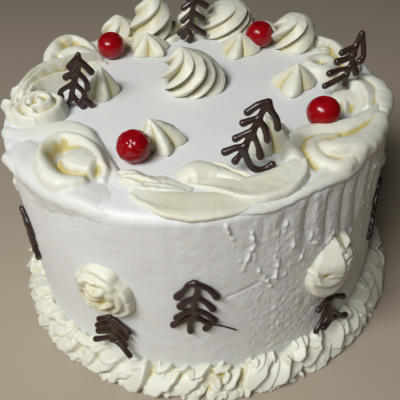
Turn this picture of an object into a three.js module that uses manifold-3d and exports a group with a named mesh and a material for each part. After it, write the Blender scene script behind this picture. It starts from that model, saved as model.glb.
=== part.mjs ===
// A round celebration cake in whipped cream: a coated drum with a shell border round its foot, a crown of
// piped swirls and kisses on top, four cocktail cherries and small trees piped in dark chocolate.
// Millimetres, +Z up, origin at the middle of the cake's flat underside, the decorated front towards -Y.
import * as THREE from 'three';
import { mergeVertices } from 'three/addons/utils/BufferGeometryUtils.js';
import Module from 'manifold-3d';

const wasm = await Module();
wasm.setup();

// Driving dimensions: three 8 inch layers with a coat of cream.
const WALL_RADIUS = 108;
const CAKE_HEIGHT = 122;
const EDGE_ROUND = 5;
const WALL_SEGMENTS = 72;

// Gap kept between pieces that touch, and the distance within which corners are welded.
const GAP = 0.35;
const WELD = 1e-4;

// Shell border round the foot.
const SHELL_COUNT = 48;
const SHELL_STEPS = 3;
const SHELL_SIDES = 8;
const SHELL_WIDTH = [8.5, 13.6];
const SHELL_HEIGHT = [15, 22.5];
const SHELL_NARROWING = 0.5;
const SHELL_SLANT = 0.35;
const SHELL_SQUARE = 0.65;
const SHELL_UNEVEN = 0.14;
const SHELL_THINNING = 0.9;

// Cocktail cherries.
const CHERRY_RADIUS = 8.8;
const CHERRY_SQUASH = 0.95;
const CHERRY_DIMPLE = 1.3;
const DIMPLE_START = 0.9;

// Chocolate trees, piped flat as one strand of trunk and twigs.
const TREE_STROKE = 3;
const TREE_PITCH = 8;
const TREE_DROOP = THREE.MathUtils.degToRad(36);
const TWIG_TIP = 0.9;

// Side view of a piped drop as shares of its radius and height, from the foot to the tip.
const DROP_PROFILE = [[0.9, 0], [1, 0.16], [0.9, 0.36], [0.66, 0.58], [0.34, 0.8], [0.1, 0.95]];
const DOME_PROFILE = [[0.92, 0], [1, 0.18], [0.96, 0.42], [0.8, 0.66], [0.52, 0.86], [0.22, 0.97]];
const FLAT_PROFILE = [[0.9, 0], [1, 0.2], [0.94, 0.5], [0.72, 0.78], [0.4, 0.94]];

// A piped strand tapers to this share of its radius at its two ends.
const STRAND_END = 0.45;
const STRAND_SIDES = 8;
const STRAND_STEP = 6.5;

// Rosettes on the wall: how deep they sink into the coat and how deep their petals are cut.
const ROSETTE_SINK = 1;
const ROSETTE_DEPTH = 0.12;

const coatCream = new THREE.MeshStandardMaterial({ color: 0xe4e1d8, roughness: 0.5, metalness: 0 });
const pipedCream = new THREE.MeshStandardMaterial({ color: 0xf1ecd6, roughness: 0.42, metalness: 0 });
const cherryFlesh = new THREE.MeshStandardMaterial({ color: 0xa80f1e, roughness: 0.15, metalness: 0 });
const chocolate = new THREE.MeshStandardMaterial({ color: 0x2e1c1c, roughness: 0.4, metalness: 0 });

const cake = new THREE.Group();

// Repeatable draws for the unevenness of hand piping.
function drawsFrom(seed) {
  let state = seed;
  return () => {
    state = (state * 1103515245 + 12345) % 2147483648;
    return state / 2147483648;
  };
}

// Welds shared corners and drops the triangles that a pole has flattened to a line.
function welded(geometry) {
  geometry.deleteAttribute('normal');
  geometry.deleteAttribute('uv');
  const merged = mergeVertices(geometry, WELD);
  const corners = merged.index.array;
  const kept = [];
  for (let i = 0; i < corners.length; i += 3) {
    const [a, b, c] = [corners[i], corners[i + 1], corners[i + 2]];
    if (a !== b && b !== c && c !== a) kept.push(a, b, c);
  }
  merged.setIndex(kept);
  return merged;
}

function solidOf(geometry) {
  const mesh = welded(geometry);
  return new wasm.Manifold(new wasm.Mesh({
    numProp: 3,
    vertProperties: Float32Array.from(mesh.attributes.position.array),
    triVerts: Uint32Array.from(mesh.index.array),
  }));
}

function geometryOf(solid) {
  const { vertProperties, triVerts } = solid.getMesh();
  const geometry = new THREE.BufferGeometry();
  geometry.setAttribute('position', new THREE.BufferAttribute(vertProperties, 3));
  geometry.setIndex(new THREE.BufferAttribute(triVerts, 1));
  geometry.computeVertexNormals();
  return geometry;
}

// The largest body of a cut solid: a scrap that a cut leaves loose is dropped.
function mainBody(solid) {
  const bodies = solid.decompose();
  bodies.sort((a, b) => b.volume() - a.volume());
  return bodies[0];
}

function joined(geometries) {
  return geometries.map(solidOf).reduce((sum, next) => sum.add(next));
}

// Moves every corner of a geometry by a function of its place.
function reshaped(geometry, move) {
  const place = geometry.attributes.position;
  const point = new THREE.Vector3();
  for (let i = 0; i < place.count; i += 1) {
    point.fromBufferAttribute(place, i);
    move(point);
    place.setXYZ(i, point.x, point.y, point.z);
  }
  return geometry;
}

// Pieces already placed, each as a solid a gap larger than itself, which later pieces are cut clear of.
const placed = [];

function addMesh(name, geometry, material, parent = cake) {
  const mesh = new THREE.Mesh(geometry, material);
  mesh.name = name;
  parent.add(mesh);
  return mesh;
}

function addCut(name, solid, clearance, material) {
  const cut = placed.reduce((rest, taken) => rest.subtract(taken), solid);
  placed.push(clearance);
  return addMesh(name, geometryOf(mainBody(cut)), material);
}

// The coated drum: straight wall, softly rounded upper edge, flat top and flat underside.
function drum(extra) {
  const radius = WALL_RADIUS + extra;
  const height = CAKE_HEIGHT + extra;
  const profile = [new THREE.Vector2(0, 0), new THREE.Vector2(radius, 0)];
  const wallTop = height - EDGE_ROUND;
  profile.push(new THREE.Vector2(radius, wallTop / 2));
  const roundSteps = 4;
  for (let i = 0; i <= roundSteps; i += 1) {
    const angle = (i / roundSteps) * Math.PI / 2;
    const across = radius - EDGE_ROUND + EDGE_ROUND * Math.cos(angle);
    profile.push(new THREE.Vector2(across, wallTop + EDGE_ROUND * Math.sin(angle)));
  }
  profile.push(new THREE.Vector2(0, height));
  return new THREE.LatheGeometry(profile, WALL_SEGMENTS).rotateX(Math.PI / 2);
}

// One continuous line of star-nozzle shells: each starts as a fat head and thins to the tail that the
// next head covers. The section has an upright inner face, a flat foot and an outer face that leans in.
function shellBorder() {
  const draw = drawsFrom(7);
  const sizes = Array.from({ length: SHELL_COUNT }, () => 1 - SHELL_UNEVEN * draw());
  const ring = new THREE.TorusGeometry(WALL_RADIUS, 1, SHELL_SIDES, SHELL_COUNT * SHELL_STEPS);
  const squared = (value) => Math.sign(value) * Math.abs(value) ** SHELL_SQUARE;
  return welded(reshaped(ring, (point) => {
    const out = Math.hypot(point.x, point.y) - WALL_RADIUS;
    const up = point.z;
    const round = Math.atan2(point.y, point.x) / (2 * Math.PI);
    const along = (round + 1) * SHELL_COUNT + SHELL_SLANT * up;
    const shell = Math.floor(along + 1e-6);
    const head = Math.sqrt(1 - (along - shell) * SHELL_THINNING) * sizes[shell % SHELL_COUNT];
    const width = THREE.MathUtils.lerp(SHELL_WIDTH[0], SHELL_WIDTH[1], head);
    const height = THREE.MathUtils.lerp(SHELL_HEIGHT[0], SHELL_HEIGHT[1], head);
    const level = (1 + squared(up)) / 2;
    const across = WALL_RADIUS + GAP + (width / 2) * (1 + squared(out)) * (1 - SHELL_NARROWING * level);
    const angle = 2 * Math.PI * round;
    point.set(across * Math.cos(angle), across * Math.sin(angle), height * level);
  }));
}

// A strand of piped cream: a tube bent along a smooth path. Each path point is [x, y, height of the
// strand's middle above the cake's top, radius]; flutes from the nozzle turn slowly round the strand.
function strand({ path, flutes = 0, depth = 0.18, turn = 0, flat = 1 }, extra = 0) {
  const middle = new THREE.CatmullRomCurve3(
    path.map(([x, y, lift]) => new THREE.Vector3(x, y, CAKE_HEIGHT + lift)),
  );
  const girth = new THREE.CatmullRomCurve3(path.map(([, , , radius]) => new THREE.Vector3(radius, 0, 0)));
  const sides = flutes ? 2 * flutes : STRAND_SIDES;
  const steps = Math.max(3, Math.round(middle.getLength() / STRAND_STEP));
  const up = new THREE.Vector3(0, 0, 1);
  const tube = new THREE.CylinderGeometry(1, 1, 1, sides, steps);
  return reshaped(tube, (point) => {
    const t = point.y + 0.5;
    const along = middle.getTangent(t);
    const side = new THREE.Vector3().crossVectors(along, up).normalize();
    const rise = new THREE.Vector3().crossVectors(side, along);
    const angle = Math.atan2(point.x, point.z);
    const inner = Math.hypot(point.x, point.z) > 0.5 ? 1 : 0;
    const fluted = flutes ? 1 + depth * Math.cos(flutes * angle) : 1;
    const nearEnd = Math.min(t, 1 - t) * steps;
    const taper = Math.min(1, STRAND_END + (1 - STRAND_END) * nearEnd);
    const radius = inner * (girth.getPoint(t).x * taper * fluted + extra);
    const turned = angle + 2 * Math.PI * turn * t;
    const base = middle.getPoint(t);
    point.copy(base).addScaledVector(side, radius * Math.sin(turned));
    point.addScaledVector(rise, radius * flat * Math.cos(turned));
  });
}

// A drop of piped cream on the cake's top: a star-nozzle kiss, or a taller swirl where the flutes turn.
function drop(spec, extra = 0) {
  const { at, radius, height, flutes, depth = 0.16, turn = 0, lean = [0, 0], shape = DROP_PROFILE } = spec;
  const wide = radius + extra;
  const tall = height + extra;
  const profile = [new THREE.Vector2(0, 0)];
  for (const [across, up] of shape) profile.push(new THREE.Vector2(across * wide, up * tall));
  profile.push(new THREE.Vector2(0, tall));
  const body = new THREE.LatheGeometry(profile, 2 * flutes).rotateX(Math.PI / 2);
  return reshaped(body, (point) => {
    const share = point.z / tall;
    const angle = Math.atan2(point.x, -point.y);
    const across = Math.hypot(point.x, point.y) * (1 + depth * Math.cos(flutes * angle));
    const turned = angle + 2 * Math.PI * turn * share;
    point.x = at[0] + lean[0] * share * share + across * Math.cos(turned);
    point.y = at[1] + lean[1] * share * share + across * Math.sin(turned);
    point.z += CAKE_HEIGHT + GAP - extra;
  });
}

// A cocktail cherry with a shallow dimple where its stalk was.
function cherry([x, y], extra = 0) {
  const radius = CHERRY_RADIUS + extra;
  const ball = new THREE.SphereGeometry(radius, 12, 8).rotateX(Math.PI / 2);
  return reshaped(ball, (point) => {
    const pole = Math.max(0, point.z / radius - DIMPLE_START) / (1 - DIMPLE_START);
    point.z = point.z * CHERRY_SQUASH - CHERRY_DIMPLE * pole;
    point.x += x;
    point.y += y;
    point.z += CAKE_HEIGHT + GAP + CHERRY_RADIUS * CHERRY_SQUASH;
  });
}

// The flat outline of a piped tree, foot at the origin and top along +Y. Each span is one pair of
// drooping twigs, [left length, right length], from the top pair to the lowest.
function treeOutline({ spans, pitch = TREE_PITCH, foot = 10 }, stroke) {
  const half = stroke / 2;
  const away = new THREE.Vector2(Math.cos(TREE_DROOP), -Math.sin(TREE_DROOP));
  const over = new THREE.Vector2(Math.sin(TREE_DROOP), Math.cos(TREE_DROOP));
  const topRoot = foot + pitch * (spans.length - 1);
  const twig = (length, root, top) => {
    const tip = new THREE.Vector2(0, root).addScaledVector(away, length);
    const upper = tip.clone().addScaledVector(over, half);
    const lower = tip.clone().addScaledVector(over, -half);
    const end = tip.clone().addScaledVector(away, TWIG_TIP);
    const crotch = (sign) => {
      const run = (half + sign * half * away.y) / away.x;
      return new THREE.Vector2(half, root + sign * half * over.y + away.y * run);
    };
    return top ? [crotch(-1), lower, end, upper] : [crotch(-1), lower, end, upper, crotch(1)];
  };
  const side = (which) => {
    const points = [new THREE.Vector2(half, 0)];
    for (let i = spans.length - 1; i >= 0; i -= 1) {
      points.push(...twig(spans[i][which], topRoot - (topRoot - foot) * (i / (spans.length - 1)), i === 0));
    }
    return points;
  };
  const apex = new THREE.Vector2(0, topRoot + half / away.x);
  const left = side(0).map((point) => new THREE.Vector2(-point.x, point.y));
  return new THREE.Shape([...side(1), apex, ...left.reverse()]);
}

function tree(spec, extra = 0) {
  const shape = treeOutline(spec, TREE_STROKE + 2 * extra);
  const plate = new THREE.ExtrudeGeometry(shape, { depth: TREE_STROKE + 2 * extra, bevelEnabled: false });
  return plate.translate(0, -extra, -extra);
}

// Sets a tree upright at a distance from the cake's axis, its face turned outwards along a heading, its
// top leaning back by lean and swung in its own plane by roll.
function stand(spec, extra) {
  const swing = new THREE.Group();
  swing.position.set(spec.centre[0], spec.centre[1], 0);
  swing.rotation.z = THREE.MathUtils.degToRad(spec.heading + 90);
  const mesh = addMesh(spec.name, tree(spec, extra), chocolate, swing);
  mesh.position.set(0, -spec.distance, spec.foot_height);
  const lean = THREE.MathUtils.degToRad(spec.lean ?? 0);
  mesh.rotation.set(Math.PI / 2 - lean, 0, THREE.MathUtils.degToRad(spec.roll ?? 0));
  return swing;
}

function addTree(spec) {
  cake.add(stand(spec, 0));
  const room = stand(spec, GAP);
  room.updateMatrixWorld(true);
  const [mesh] = room.children;
  placed.push(solidOf(mesh.geometry.applyMatrix4(mesh.matrixWorld)));
}

// A rosette on the wall: a broad fluted drop lying on its side, cut to the wall's curve.
function wallRosette({ heading, height, flutes, radius, thick, turn, tip }, extra = 0) {
  const wide = radius + extra;
  const tall = thick + extra;
  const profile = [new THREE.Vector2(0, 0)];
  for (const [across, up] of FLAT_PROFILE) profile.push(new THREE.Vector2(across * wide, up * tall));
  profile.push(new THREE.Vector2(0, tall + tip));
  const body = new THREE.LatheGeometry(profile, 2 * flutes).rotateX(Math.PI / 2);
  reshaped(body, (point) => {
    const share = point.z / tall;
    const angle = Math.atan2(point.y, point.x);
    const across = Math.hypot(point.x, point.y) * (1 + ROSETTE_DEPTH * Math.cos(flutes * angle));
    const turned = angle + 2 * Math.PI * turn * share;
    point.set(across * Math.cos(turned), across * Math.sin(turned), point.z - extra);
  });
  body.rotateY(Math.PI / 2).translate(WALL_RADIUS - ROSETTE_SINK, 0, height);
  return body.rotateZ(THREE.MathUtils.degToRad(heading));
}

placed.push(solidOf(drum(GAP)));
addMesh('cake_drum', welded(drum(0)), coatCream);
addMesh('foot_shell_border', shellBorder(), pipedCream);

const cherryPlaces = {
  cherry_front_left: [-31, -60],
  cherry_right: [65.5, -42.5],
  cherry_back_right: [45, 55],
  cherry_back_left: [-49.5, 56],
};
for (const [name, at] of Object.entries(cherryPlaces)) {
  addCut(name, solidOf(cherry(at)), solidOf(cherry(at, GAP)), cherryFlesh);
}

// Trees stood in the cream of the crown, faces towards the front.
const topTrees = [
  { name: 'tree_top_left', centre: [-63, -6], heading: -100, roll: -6, lean: 4, foot_height: 0.5,
    spans: [[8, 12], [8, 11], [10, 12], [9, 8]], foot: 8 },
  { name: 'tree_top_back', centre: [3, 68], heading: -92, roll: -2, lean: 4, foot_height: 0.5,
    spans: [[11, 11], [12, 12], [12, 13], [9, 9]], foot: 7 },
  { name: 'tree_top_right', centre: [80, -14], heading: -78, roll: -20, lean: 6, foot_height: 3,
    spans: [[10, 9], [12, 8], [13, 7], [11, 6]], foot: 9 },
  { name: 'tree_top_front', centre: [22, -78], heading: -86, roll: -15, lean: 4, foot_height: 3,
    spans: [[11, 12], [12, 13], [13, 12], [15, 7]], foot: 10 },
];
for (const spec of topTrees) {
  addTree({ ...spec, distance: 0, foot_height: CAKE_HEIGHT + spec.foot_height });
}

// Single drops of cream inside the ring, and the tall swirl in the middle.
const drops = [
  { name: 'swirl_centre', at: [0, 9], radius: 16.5, height: 25, flutes: 6, depth: 0.15, turn: 0.3 },
  { name: 'kiss_left', at: [-53, 9], radius: 10.5, height: 16.5, flutes: 6 },
  { name: 'kiss_back_left', at: [-26.5, 61], radius: 12.3, height: 12, flutes: 6 },
  { name: 'kiss_back_right', at: [31.5, 51], radius: 13.5, height: 11.5, flutes: 6 },
  { name: 'kiss_right', at: [58, 3], radius: 14, height: 12, flutes: 6, lean: [2, 0] },
  { name: 'kiss_front_right', at: [33.5, -55], radius: 13, height: 16.5, flutes: 6 },
  { name: 'kiss_front_left', at: [-19, -47], radius: 11.5, height: 14.5, flutes: 6, lean: [-4, 0] },
  { name: 'kiss_front', at: [-1, -76], radius: 8, height: 6, flutes: 6, depth: 0.04, shape: FLAT_PROFILE },
];
for (const { name, ...spec } of drops) {
  addCut(name, solidOf(drop(spec)), solidOf(drop(spec, GAP)), pipedCream);
}

// The crown of swirls along the edge, from the front round to the left, the back and the right.
const crown = [
  { name: 'swirl_front_left', strands: [
    { path: [[-46, -75, 1, 3.6], [-47, -65, 4, 4.2], [-55, -52, 5, 4.4], [-66, -46, 5.2, 4.6],
      [-75, -51, 5, 4.6], [-76, -63, 4, 4.6], [-69, -74, 2.6, 4.6], [-58, -77.5, 1.2, 4.2]] },
    { path: [[-49, -67, 2.5, 5.2], [-56, -64, 3, 6], [-65, -60.5, 1.4, 4.8]] },
    { path: [[-103, -25, -4, 5.5], [-86, -29, -4, 7.5], [-67, -30, -3.4, 8], [-54, -46, -4, 8],
      [-41, -70, -5, 7.5], [-29, -92, -6.4, 6]] },
    { path: [[-90, -48, -6.6, 9.5], [-68, -74, -7.6, 11], [-40, -91, -7, 8.5]] },
  ] },
  { name: 'swirl_left', strands: [
    { path: [[-64, 43, 2.4, 5], [-77, 38, 4, 7], [-87.5, 28, 4.6, 7.6], [-94, 15, 4.4, 7.6],
      [-97, 2, 3.4, 7], [-97, -8, 3, 6]], flutes: 5, turn: 0.2 },
    { path: [[-97, 6, 3.6, 6], [-98, -9, 3.6, 5.4], [-92, -19, 4, 5], [-81, -21, 4.4, 5],
      [-75, -12, 5, 4.8], [-80, -4, 6.2, 4.6], [-88, -8, 7, 4.2], [-84, -12, 7.6, 3.8]],
      flutes: 5, turn: 0.4 },
  ] },
  { name: 'swirl_back_left', strands: [
    { path: [[-60, 57, 1.6, 3.4], [-65, 63.5, 4.6, 4.2], [-73, 69.5, 6, 4.6], [-81, 71, 6, 4.6],
      [-87.5, 62, 5, 4.6], [-88, 48, 2, 4.6]] },
    { path: [[-61, 55, 1, 4.6], [-70, 57, 2.4, 5.8], [-81, 53, 1.4, 5]] },
  ] },
  { name: 'swirl_back', drops: [
    { at: [-25, 81], radius: 15, height: 30, flutes: 5, depth: 0.2, turn: 0.45, lean: [5, -1] },
    { at: [-46, 82], radius: 12, height: 17, flutes: 5, depth: 0.16, turn: 0.2 },
  ] },
  { name: 'swirl_back_middle', drops: [
    { at: [25, 81], radius: 15.5, height: 20.5, flutes: 7, depth: 0.1, turn: 0.25, lean: [5, 0],
      shape: DOME_PROFILE },
    { at: [4, 86], radius: 12, height: 18, flutes: 6, depth: 0.16, turn: 0.2 },
  ] },
  { name: 'swirl_back_right', drops: [
    { at: [66, 52], radius: 13.5, height: 20, flutes: 5, depth: 0.2, turn: 0.3, lean: [1, 1],
      shape: DOME_PROFILE },
  ] },
  { name: 'swirl_right_back', strands: [
    { path: [[84, 33, 6, 6], [93, 22, 7, 7], [91, 8, 6, 7], [80, 2, 6, 7], [70, 10, 7, 7], [75, 20, 8, 7],
      [82, 15, 9, 7]] },
  ] },
  { name: 'swirl_right', strands: [
    { path: [[85, -8, 5, 6], [93, -5, 7, 6.5], [99, -11, 8, 6.5], [100, -21, 8, 6.5], [98, -31, 7, 6],
      [94, -38, 6, 5]] },
    { path: [[80, -22, 3, 7], [88, -24, 4, 8], [92, -33, 4, 6]] },
  ] },
  { name: 'swirl_front_right', strands: [
    { path: [[98, -32, 1, 3.6], [86, -44, 1.8, 4.4], [72, -50.5, 1.8, 4.8], [55, -52.5, 1.8, 4.8],
      [46, -64, 1.6, 4.8], [49, -79, -0.6, 4.2]] },
    { path: [[92, -49, 1.4, 4.4], [80, -63, 1.8, 5.2], [67, -68, 2.2, 5.8], [57, -67, 0.8, 4.8],
      [60, -77, 0, 4.6]] },
    { path: [[99, -38, -2, 4.6], [92, -53, -2.4, 5.4], [80, -69, -3, 6], [62, -84, -3.4, 5.4],
      [44, -95, -4.6, 5.2]] },
  ] },
  { name: 'ribbon_front_right', strands: [
    { path: [[48, -75, 0.4, 4.6], [43, -83, -2, 7], [31, -90, -2.6, 9], [19, -90, -2.6, 8.4],
      [5, -85, -1.4, 5]], flat: 0.7 },
  ] },
  { name: 'ribbon_front', strands: [
    { path: [[-29, -88, -1, 3.6], [-16, -95.5, -3, 8.2], [-5, -98.5, -3.6, 9], [7, -99.4, -3.4, 8],
      [22, -100.5, -1.6, 3.4]], flat: 0.7 },
  ] },
  { name: 'ribbon_front_left', strands: [
    { path: [[-36, -76, 0.6, 3.2], [-27, -79.5, 0, 5.6], [-17, -83.5, -0.6, 5.6], [-5, -88, -0.6, 3.2]],
      flat: 0.8 },
  ] },
];
for (const { name, strands = [], drops: heaps = [] } of crown) {
  const made = (extra) => joined([
    ...strands.map((spec) => strand(spec, extra)),
    ...heaps.map((spec) => drop(spec, extra)),
  ]);
  addCut(name, made(0), made(GAP), pipedCream);
}

// Round the wall: upright trees, and between them rosettes with a smaller tree below each.
const wallTree = { centre: [0, 0], distance: WALL_RADIUS + GAP, foot_height: 45, roll: -2, foot: 10,
  spans: [[13, 15], [11, 11], [13, 13], [15, 10]] };
const treeHeadings = {
  front: -94, front_right: -24, right: 34, back: 90, left_back: 146, front_left: -157,
};
for (const [place, heading] of Object.entries(treeHeadings)) {
  addTree({ ...wallTree, name: `tree_wall_${place}`, heading });
}
const lowTree = { centre: [0, 0], distance: WALL_RADIUS + 5, foot_height: 23.5, lean: 8, roll: -14, foot: 9,
  spans: [[10, 13], [11, 13], [12, 12]], pitch: 6.5 };
const rosette = { height: 67, flutes: 6, radius: 14, thick: 11, turn: 0.12, tip: 2 };
const rosetteHeadings = {
  front_left: -118, front_right: -55, right: 5, right_back: 62, back: 118, left: 175,
};
for (const [place, heading] of Object.entries(rosetteHeadings)) {
  addTree({ ...lowTree, name: `tree_low_${place}`, heading });
  const spec = { ...rosette, heading };
  addCut(`rosette_wall_${place}`, solidOf(wallRosette(spec)), solidOf(wallRosette(spec, GAP)), pipedCream);
}

export default cake;
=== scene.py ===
"""A tall round cake in whipped cream with piped swirls, cherries and chocolate trees, around its solids.

Sizes in the sections are millimetres in the part's own frame, and meshes are set down in metres.
"""

import math

import bpy
import numpy as np
from mathutils import Matrix, Vector


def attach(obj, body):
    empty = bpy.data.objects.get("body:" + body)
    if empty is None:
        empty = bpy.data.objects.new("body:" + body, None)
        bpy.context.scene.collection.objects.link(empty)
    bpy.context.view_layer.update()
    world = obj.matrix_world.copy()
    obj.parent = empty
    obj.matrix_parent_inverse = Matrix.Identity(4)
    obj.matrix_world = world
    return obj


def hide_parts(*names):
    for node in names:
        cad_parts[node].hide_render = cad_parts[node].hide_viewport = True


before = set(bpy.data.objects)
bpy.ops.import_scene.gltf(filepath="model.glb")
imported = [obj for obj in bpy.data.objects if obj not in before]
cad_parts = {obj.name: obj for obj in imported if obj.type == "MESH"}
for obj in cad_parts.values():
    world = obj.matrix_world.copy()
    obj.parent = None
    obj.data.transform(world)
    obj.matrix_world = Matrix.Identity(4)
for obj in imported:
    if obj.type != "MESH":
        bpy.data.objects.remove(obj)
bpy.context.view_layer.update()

# Viewpoint: a camera held above the front of the cake, tipped down at forty degrees and turned a little
# to one side, as one looks down at a cake before cutting it.
CAMERA_PLACE = (-0.00087, -0.30343, 0.29390)
CAMERA_TILT = math.radians(39.548)
CAMERA_ROLL = math.radians(-4.501)
CAMERA_LENS = 54.0
CAMERA_FILM = 36.0
CAMERA_NEAREST = 0.01
CAMERA_FURTHEST = 20.0

camera_data = bpy.data.cameras.new("camera")
camera = bpy.data.objects.new("camera", camera_data)
bpy.context.scene.collection.objects.link(camera)
bpy.context.scene.camera = camera
camera_data.lens = CAMERA_LENS
camera_data.sensor_width = CAMERA_FILM
camera_data.clip_start = CAMERA_NEAREST
camera_data.clip_end = CAMERA_FURTHEST
across = Vector((1, 0, 0))
upward = Vector((0, math.sin(CAMERA_TILT), math.cos(CAMERA_TILT)))
backward = Vector((0, -math.cos(CAMERA_TILT), math.sin(CAMERA_TILT)))
turned_across = math.cos(CAMERA_ROLL) * across + math.sin(CAMERA_ROLL) * upward
turned_upward = math.cos(CAMERA_ROLL) * upward - math.sin(CAMERA_ROLL) * across
camera.matrix_world = Matrix.Translation(CAMERA_PLACE) @ Matrix(
    (turned_across, turned_upward, backward)
).transposed().to_4x4()

# Light and floor: a soft lamp from the left, a larger one from the front, weak warm light from all round,
# and a plain pale floor. A lamp has a heading and height in degrees, a distance, size, power and colour.
LAMPS = (
    ("key_lamp", -140, 49, 1.1, 0.34, 7.5, (0.965, 0.985, 1.0)),
    ("front_lamp", -114, 48, 1.2, 0.40, 6.2, (0.975, 0.985, 1.0)),
)
LAMP_AIM = Vector((0, 0, 0.09))
ROOM_LIGHT = (1.0, 0.78, 0.52)
ROOM_STRENGTH = 0.007
FLOOR_REACH = 3.0
FLOOR_COLOUR = (0.40, 0.33, 0.25)
FLOOR_ROUGHNESS = 0.7

for name, heading, height, distance, size, power, colour in LAMPS:
    lamp_data = bpy.data.lights.new(name, "AREA")
    lamp_data.shape = "SQUARE"
    lamp_data.size = size
    lamp_data.energy = power
    lamp_data.color = colour
    lamp = bpy.data.objects.new(name, lamp_data)
    bpy.context.scene.collection.objects.link(lamp)
    turn, climb = math.radians(heading), math.radians(height)
    way = Vector((math.cos(turn) * math.cos(climb), math.sin(turn) * math.cos(climb), math.sin(climb)))
    lamp.location = LAMP_AIM + distance * way
    lamp.rotation_euler = way.to_track_quat("Z", "Y").to_euler()

room = bpy.data.worlds.new("room")
bpy.context.scene.world = room
room.use_nodes = True
room.node_tree.nodes["Background"].inputs["Color"].default_value = (*ROOM_LIGHT, 1)
room.node_tree.nodes["Background"].inputs["Strength"].default_value = ROOM_STRENGTH
bpy.context.scene.view_settings.view_transform = "Standard"

floor_mesh = bpy.data.meshes.new("floor")
floor_mesh.from_pydata(
    [(x * FLOOR_REACH, y * FLOOR_REACH, 0) for x, y in ((-1, -1), (1, -1), (1, 1), (-1, 1))], [],
    [(0, 1, 2, 3)],
)
floor = bpy.data.objects.new("floor", floor_mesh)
bpy.context.scene.collection.objects.link(floor)
floor_finish = bpy.data.materials.new("floor_finish")
floor_finish.use_nodes = True
floor_finish.node_tree.nodes["Principled BSDF"].inputs["Base Color"].default_value = (*FLOOR_COLOUR, 1)
floor_finish.node_tree.nodes["Principled BSDF"].inputs["Roughness"].default_value = FLOOR_ROUGHNESS
floor_mesh.materials.append(floor_finish)

# Coat: the cake's wall and top, sponge layers covered in whipped cream and drawn smooth with a palette
# knife. The front and left are smooth; on the right the knife left upright ridges below the rim,
# with flecks and a pitted skin where the cream was worked too long.
WALL_RADIUS = 108.0
CAKE_HEIGHT = 122.0
EDGE_ROUND = 5.0
COAT_COLUMNS = 490
FINE_COLUMNS = 300
FINE_FROM = -98
FINE_TO = -14
COAT_ROWS = 148
RIM_ROWS = 8
TOP_ROWS = 30
SMOOTH_HEADING = -88
RIDGE_PITCH = 6.4
RIDGE_RISE = 2.0
RIDGE_SINK = 1.8
LUMP_RISE = 0.55
PIT_DEPTH = 0.6
FLECK_RISE = 2.2
CURL_RISE = 1.6
SPECK_RISE = 1.6
SCRATCH_DEPTH = 0.5
COAT_WHITE = (0.785, 0.787, 0.770)
COAT_SHADE = (0.752, 0.748, 0.715)
# Painted shade: the yellow that creases in the coat are blended towards.
COAT_CREASE_SHADE = (0.66, 0.58, 0.40)
COAT_ROUGHNESS = 0.48
COAT_GRAIN = 0.2
# Partly painted shade: thin cream's white, near the coat's but darkened to tone down the lamp-lit rim.
THIN_SHADED_WHITE = (0.705, 0.700, 0.658)
MM = 0.001


def ripple(points, size, seed):
    """Smooth uneven values from -1 to 1 over points, with waves of about the given size."""
    scaled = np.asarray(points, float) / size
    base = np.floor(scaled)
    part = scaled - base
    part = part * part * (3 - 2 * part)
    base = base.astype(np.int64)
    total = 0.0
    for corner in range(8):
        step = np.array([corner & 1, corner >> 1 & 1, corner >> 2 & 1])
        cell = base + step
        mixed = cell[:, 0] * 73856093 ^ cell[:, 1] * 19349663 ^ cell[:, 2] * 83492791 ^ seed * 2654435761
        mixed = (mixed ^ mixed >> 13) * 1274126177 & 0x7FFFFFFF
        mixed = (mixed ^ mixed >> 15) * 73244475 & 0x7FFFFFFF
        share = np.prod(np.where(step, part, 1 - part), axis=1)
        total = total + share * (mixed / 0x3FFFFFFF - 1)
    return total


def upright(points, share):
    """Points with their heights squeezed to a share, so that a ripple over them is drawn out upright."""
    return points * np.array([1, 1, share])


def fade(value, low, high):
    """Rises softly from zero at low to one at high."""
    share = np.clip((value - low) / (high - low), 0, 1)
    return share * share * (3 - 2 * share)


curls = (
    ((-78.6, 109), (-77.9, 102), (-79.0, 97), (-80.9, 87)), ((-84.7, 116), (-84.2, 112), (-83, 106)),
    ((-71.6, 84), (-72.3, 76), (-76, 76)), ((-63.8, 86), (-65.2, 82), (-65.9, 80)),
    ((-69.3, 109), (-69.9, 104)), ((-61.7, 95), (-61.8, 90), (-60, 88)),
    ((-53.7, 88), (-55.7, 84), (-58, 82)), ((-76.7, 84), (-75.3, 78), (-73.4, 70)),
    ((-36, 96), (-37, 88), (-35, 82)), ((12, 92), (11, 84), (13, 78)), ((58, 96), (57, 87), (59, 80)),
)


def curl_relief(heading, height):
    """Rises along the small curls of cream that the knife dragged up and left on the wall."""
    rise = np.zeros_like(heading)
    per_degree = math.radians(1) * WALL_RADIUS
    for curl in curls:
        for (turn_a, lift_a), (turn_b, lift_b) in zip(curl, curl[1:]):
            run = np.array([(turn_b - turn_a) * per_degree, lift_b - lift_a])
            off = ((heading - turn_a + 180) % 360 - 180) * per_degree, height - lift_a
            along = np.clip((off[0] * run[0] + off[1] * run[1]) / (run @ run), 0, 1)
            away = (off[0] - along * run[0]) ** 2 + (off[1] - along * run[1]) ** 2
            rise = np.maximum(rise, np.exp(-away / 0.7))
    return rise


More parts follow.
